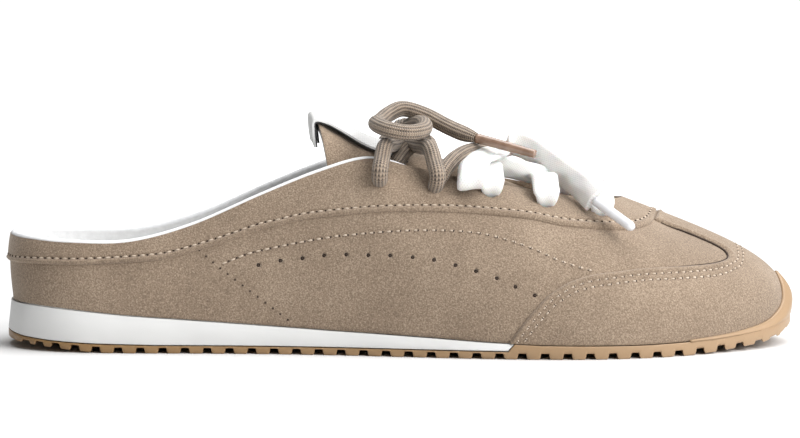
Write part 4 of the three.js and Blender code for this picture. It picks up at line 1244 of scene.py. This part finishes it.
def makeOutsole():
    half = sizes["grooveWidth"] / 2
    x, _, _ = soleOutline(sizes["soleLip"], roundStations(90))
    low, high = x[0], x[-1]
    marks = list(x)
    for place in groovePlaces():
        marks += [place + side * (half + step) for side in (-1, 1) for step in (-0.35, -0.12, 0.12, 0.45)]
    end = sizes["midsoleEnd"] + sizes["gap"]
    marks += [end - 1.3, end - 1.1, end + 1.0, end + 1.2]
    marks = np.unique(np.clip(np.round(marks, 2), low, high))

    def bottom(values):
        depth = np.zeros(len(values))
        for place in groovePlaces():
            away = np.abs(values - place) - half
            fade = np.clip(np.minimum(place + 12, shoeLength + 8 - place) / 40, 0.3, 1)
            depth = np.maximum(depth, fade * np.clip((0.3 - away) / 0.5, 0, 1))
        soft = depth * depth * (3 - 2 * depth)
        toeFade = np.clip((values[-1] - values) / 3, 0, 1)
        return treadHeight(values) + sizes["lugHeight"] * soft * toeFade

    def top(values):
        covered = np.clip((end - values) / 2.2 + 0.5, 0, 1)
        return seatHeight(values) - sizes["gap"] - covered * (seatHeight(values) - rubberTop(values))

    stations = (marks - low) / (high - low)
    loops = soleLoops(sizes["soleLip"], sizes["soleLip"], stations, bottom, top, 0.5)
    return addLoft("outsole_gum", loops, "gum", ("outsole",), sharpAngle=35)


# The bumper lies on the guard, flush with the outsole's side below and thin above
bumperSetup = {"inside": 0.75, "reach": 4.0, "fullShare": 0.3, "thinned": 0.62, "tip": 0.2, "proud": 0.04}
bumperRows = [(0, 1.5), (0.5, 1.32), (1, 0.92), (1.5, 0.7), (2, 0.56), (3, 0.42), (4, 0.34)]


def makeBumper():
    inside, reach = bumperSetup["inside"], bumperSetup["reach"]
    values = np.linspace(-reach, reach, 150)
    rib = toeRib + values
    table = np.array([(-a, u) for a, u in bumperRows[:0:-1]] + bumperRows)
    smooth = smoothLine(table, 8)
    top = riseAtHeight(rib, np.interp(values, smooth[:, 0], smooth[:, 1]) * heelSeat)
    shares = np.linspace(0, 1, 24)
    fall = np.clip((shares - bumperSetup["fullShare"]) / (1 - bumperSetup["fullShare"]), 0, 1)
    edge = 1 - bumperSetup["thinned"] * fall ** 2 * (3 - 2 * fall)
    edge[-1] = bumperSetup["tip"]
    t = np.clip((lastPoint(rib, 0)[:, 0] / shoeLength - 0.9) / 0.08, 0, 1)
    thick = sizes["soleLip"] + sizes["toeLip"] * t * t * (3 - 2 * t) + bumperSetup["proud"] - inside
    outer = [offLast(rib, top * s, inside + thick * e) for s, e in zip(shares, edge)]
    inner = [offLast(rib, top * s, np.full(len(rib), inside)) for s in shares]
    drop = np.array([0, 0, sizes["bumperRoot"]])
    loops = np.stack([outer[0] - drop] + outer + inner[::-1] + [inner[0] - drop], 1)
    return addLoft("toe_bumper_gum", loops, "gum")


def makeMidsole():
    x, _, _ = soleOutline(sizes["soleLip"], roundStations(160))
    stations = (x - x[0]) / (x[-1] - x[0])
    end = sizes["midsoleEnd"]
    keep = stations[x < end]
    keep = np.append(keep, (end - x[0]) / (x[-1] - x[0]))
    loops = soleLoops(sizes["soleLip"], sizes["midsoleLip"], keep, lambda v: rubberTop(v) + 0.0,
                      lambda v: seatHeight(v) - sizes["gap"], 0.4)
    front = loops[-1]
    slant = (front[:, 2] - front[:, 2].min()) / max(np.ptp(front[:, 2]), 0.1)
    loops[-1, :, 0] = end - sizes["midsoleSlant"] + 2 * sizes["midsoleSlant"] * slant
    return addLoft("midsole_foam", loops, "foam", ("midsole",), sharpAngle=40)


def makeInsole():
    inset = -(sizes["upperWall"] + 2 * sizes["gap"]) - sizes["toeLip"]
    loops = soleLoops(inset, inset, roundStations(120), lambda v: seatHeight(v),
                      lambda v: seatHeight(v) + sizes["insoleThick"], 0.8)
    return addLoft("insole_cloth", loops, "footbed", ("insole",))


makeOutsole()
makeBumper()
makeMidsole()
makeInsole()
print("sole ready")


# Tongue and its tape

# Rows from the root to the end: along, up, half width and drop of the flanks, as shares
tongueRows = [(0.81, 0.648, 0.15, 0.075), (0.776, 0.7, 0.155, 0.07), (0.74, 0.728, 0.16, 0.07),
              (0.66, 0.81, 0.175, 0.08), (0.58, 0.935, 0.19, 0.11), (0.51, 1.0, 0.205, 0.14),
              (0.46, 1.045, 0.215, 0.17), (0.42, 1.115, 0.222, 0.21), (0.392, 1.18, 0.225, 0.235)]


tongueFlare = {"steepFrom": 5, "sweepFrom": 6, "sweep": 2.4}


def tonguePoint(place, across, lift):
    line = smoothLine(tongueRows, 16)
    places = np.linspace(0, len(tongueRows) - 1, len(line))
    along, up, half, drop = (np.interp(place, places, line[:, k]) for k in range(4))
    place, across, lift = np.broadcast_arrays(place, across, lift)
    flank = 2 + np.clip(place - tongueFlare["steepFrom"], 0, 2)  # flat middle and steep flanks
    swept = tongueFlare["sweep"] * np.clip(place - tongueFlare["sweepFrom"], 0, 2) * across ** 2
    return np.stack([along * shoeLength + swept, across * half * ballWidth,
                     up * instepHeight - drop * instepHeight * np.abs(across) ** flank + lift], -1)


def makeTongue():
    places = np.linspace(0, len(tongueRows) - 1, 110)
    across = np.linspace(-1, 1, 60)
    grid = np.meshgrid(places, across, indexing="ij")
    edge = np.minimum(1 - np.abs(grid[1]), (len(tongueRows) - 1 - grid[0]) * 0.8)
    ease = 0.5 * np.exp(-edge / 0.02)
    top = tonguePoint(grid[0], grid[1], -ease)
    under = tonguePoint(grid[0], grid[1], -1.7 + ease)
    loops = np.concatenate([top, under[:, ::-1]], 1)
    return addLoft("tongue_suede", loops, "suede", ("tongue",), sharpAngle=60)


def makeTongueLining():
    places = np.linspace(0, len(tongueRows) - 1.03, 90)
    grid = np.meshgrid(places, np.linspace(-0.97, 0.97, 40), indexing="ij")
    top = tonguePoint(grid[0], grid[1], -1.8)
    under = tonguePoint(grid[0], grid[1], -3.0)
    return addLoft("tongue_lining", np.concatenate([top, under[:, ::-1]], 1), "lining")


tapeSetup = {"halfShare": 0.62, "length": 36}


def tapeSection(across, distance):
    last = len(tongueRows) - 1
    lifts = ((last - 3, 0.2), (last - 2, 1.2), (last - 1, 1.8), (last - 0.35, 1.4))
    rows = [tonguePoint(place, across, sizes["gap"] + distance + lift) for place, lift in lifts]
    lip = tonguePoint(last, across, 0.0)
    gap = sizes["gap"]
    rows.append(lip + (-gap - 0.8 * distance - 0.6, 0, gap + 0.8 * distance + 0.6))
    rows.append(lip + (-gap - distance - 0.9, 0, -sizes["tongueThick"] / 2))
    rows.append(lip + (-gap - distance - 0.3, 0, -2.4 * sizes["tongueThick"]))
    return smoothLine(rows, 10)


def makeTape(name, near, far, material, nodes):
    across = np.linspace(-tapeSetup["halfShare"], tapeSetup["halfShare"], 31)
    outer = np.array([tapeSection(a, far) for a in across])
    inner = np.array([tapeSection(a, near) for a in across])
    loops = np.concatenate([outer, inner[:, ::-1]], 1)
    lengths = np.linspace(0, tapeSetup["length"], outer.shape[1])
    u = np.concatenate([lengths, lengths[::-1]])
    uv = np.stack([np.tile(u, len(across)), np.repeat(across, len(u))], 1)
    return addLoft(name, loops, material, nodes, uv, sharpAngle=60)


makeTongue()
makeTongueLining()
makeTape("tongue_tape_face", 0.45, 1.2, "tape", ("tongue_tape",))
# Under layer of the tape, painted near-black as the shade between tape and tongue
makeTape("tongue_tape_back_shade", 0.0, 0.42, "tapeBackShade", ())
print("tongue ready")


# Floor and light
lightSetup = {
    "world": 0.2,
    "top": {"size": 1.8, "power": 42, "at": (0.4, 0.3, 1.55)},
    "toe": {"size": 1.0, "power": 25, "at": (1.0, -0.85, 0.75)},
}
floorLook = {"tone": 0.72, "near": 0.3, "far": 1.4, "glow": 0.95, "reach": 40}
floorMesh = bpy.data.meshes.new("floor")
reach = floorLook["reach"]
corners = [(-reach, -reach, 0), (reach, -reach, 0), (reach, reach, 0), (-reach, reach, 0)]
floorMesh.from_pydata(corners, [], [(0, 1, 2, 3)])
floorObject = bpy.data.objects.new("floor", floorMesh)
bpy.context.scene.collection.objects.link(floorObject)
floorMaterial, floorShader = newMaterial("paleFloor", 0.9)
floorShader.inputs["Base Color"].default_value = (*[floorLook["tone"]] * 3, 1)
# Away from the shoe the floor glows, so that it stays white up to the horizon
floorPlace = addNode(floorMaterial, "ShaderNodeTexCoord")
floorAway = addNode(floorMaterial, "ShaderNodeVectorMath", operation="LENGTH")
floorGlow = addNode(floorMaterial, "ShaderNodeMapRange")
floorGlow.interpolation_type = "SMOOTHSTEP"
for socket, value in (("From Min", "near"), ("From Max", "far"), ("To Max", "glow")):
    floorGlow.inputs[socket].default_value = floorLook[value]
link(floorMaterial, floorPlace.outputs["Object"], floorAway.inputs[0])
link(floorMaterial, floorAway.outputs["Value"], floorGlow.inputs["Value"])
link(floorMaterial, floorGlow.outputs["Result"], floorShader.inputs["Emission Strength"])
floorShader.inputs["Emission Color"].default_value = (1, 1, 1, 1)
floorMesh.materials.append(floorMaterial)

world = bpy.data.worlds.new("studio")
world.use_nodes = True
world.node_tree.nodes["Background"].inputs["Color"].default_value = (1, 1, 1, 1)
world.node_tree.nodes["Background"].inputs["Strength"].default_value = lightSetup["world"]
bpy.context.scene.world = world


def addLight(name, size, power, at):
    data = bpy.data.lights.new(name, "AREA")
    data.size = size
    data.energy = power
    lamp = bpy.data.objects.new(name, data)
    bpy.context.scene.collection.objects.link(lamp)
    lamp.location = at
    lamp.rotation_euler = (Vector((0, 0, 0.03)) - Vector(at)).to_track_quat("-Z", "Y").to_euler()


addLight("topSoftbox", **lightSetup["top"])
addLight("toeSoftbox", **lightSetup["toe"])
bpy.context.scene.view_settings.view_transform = "Standard"

print("scene ready")
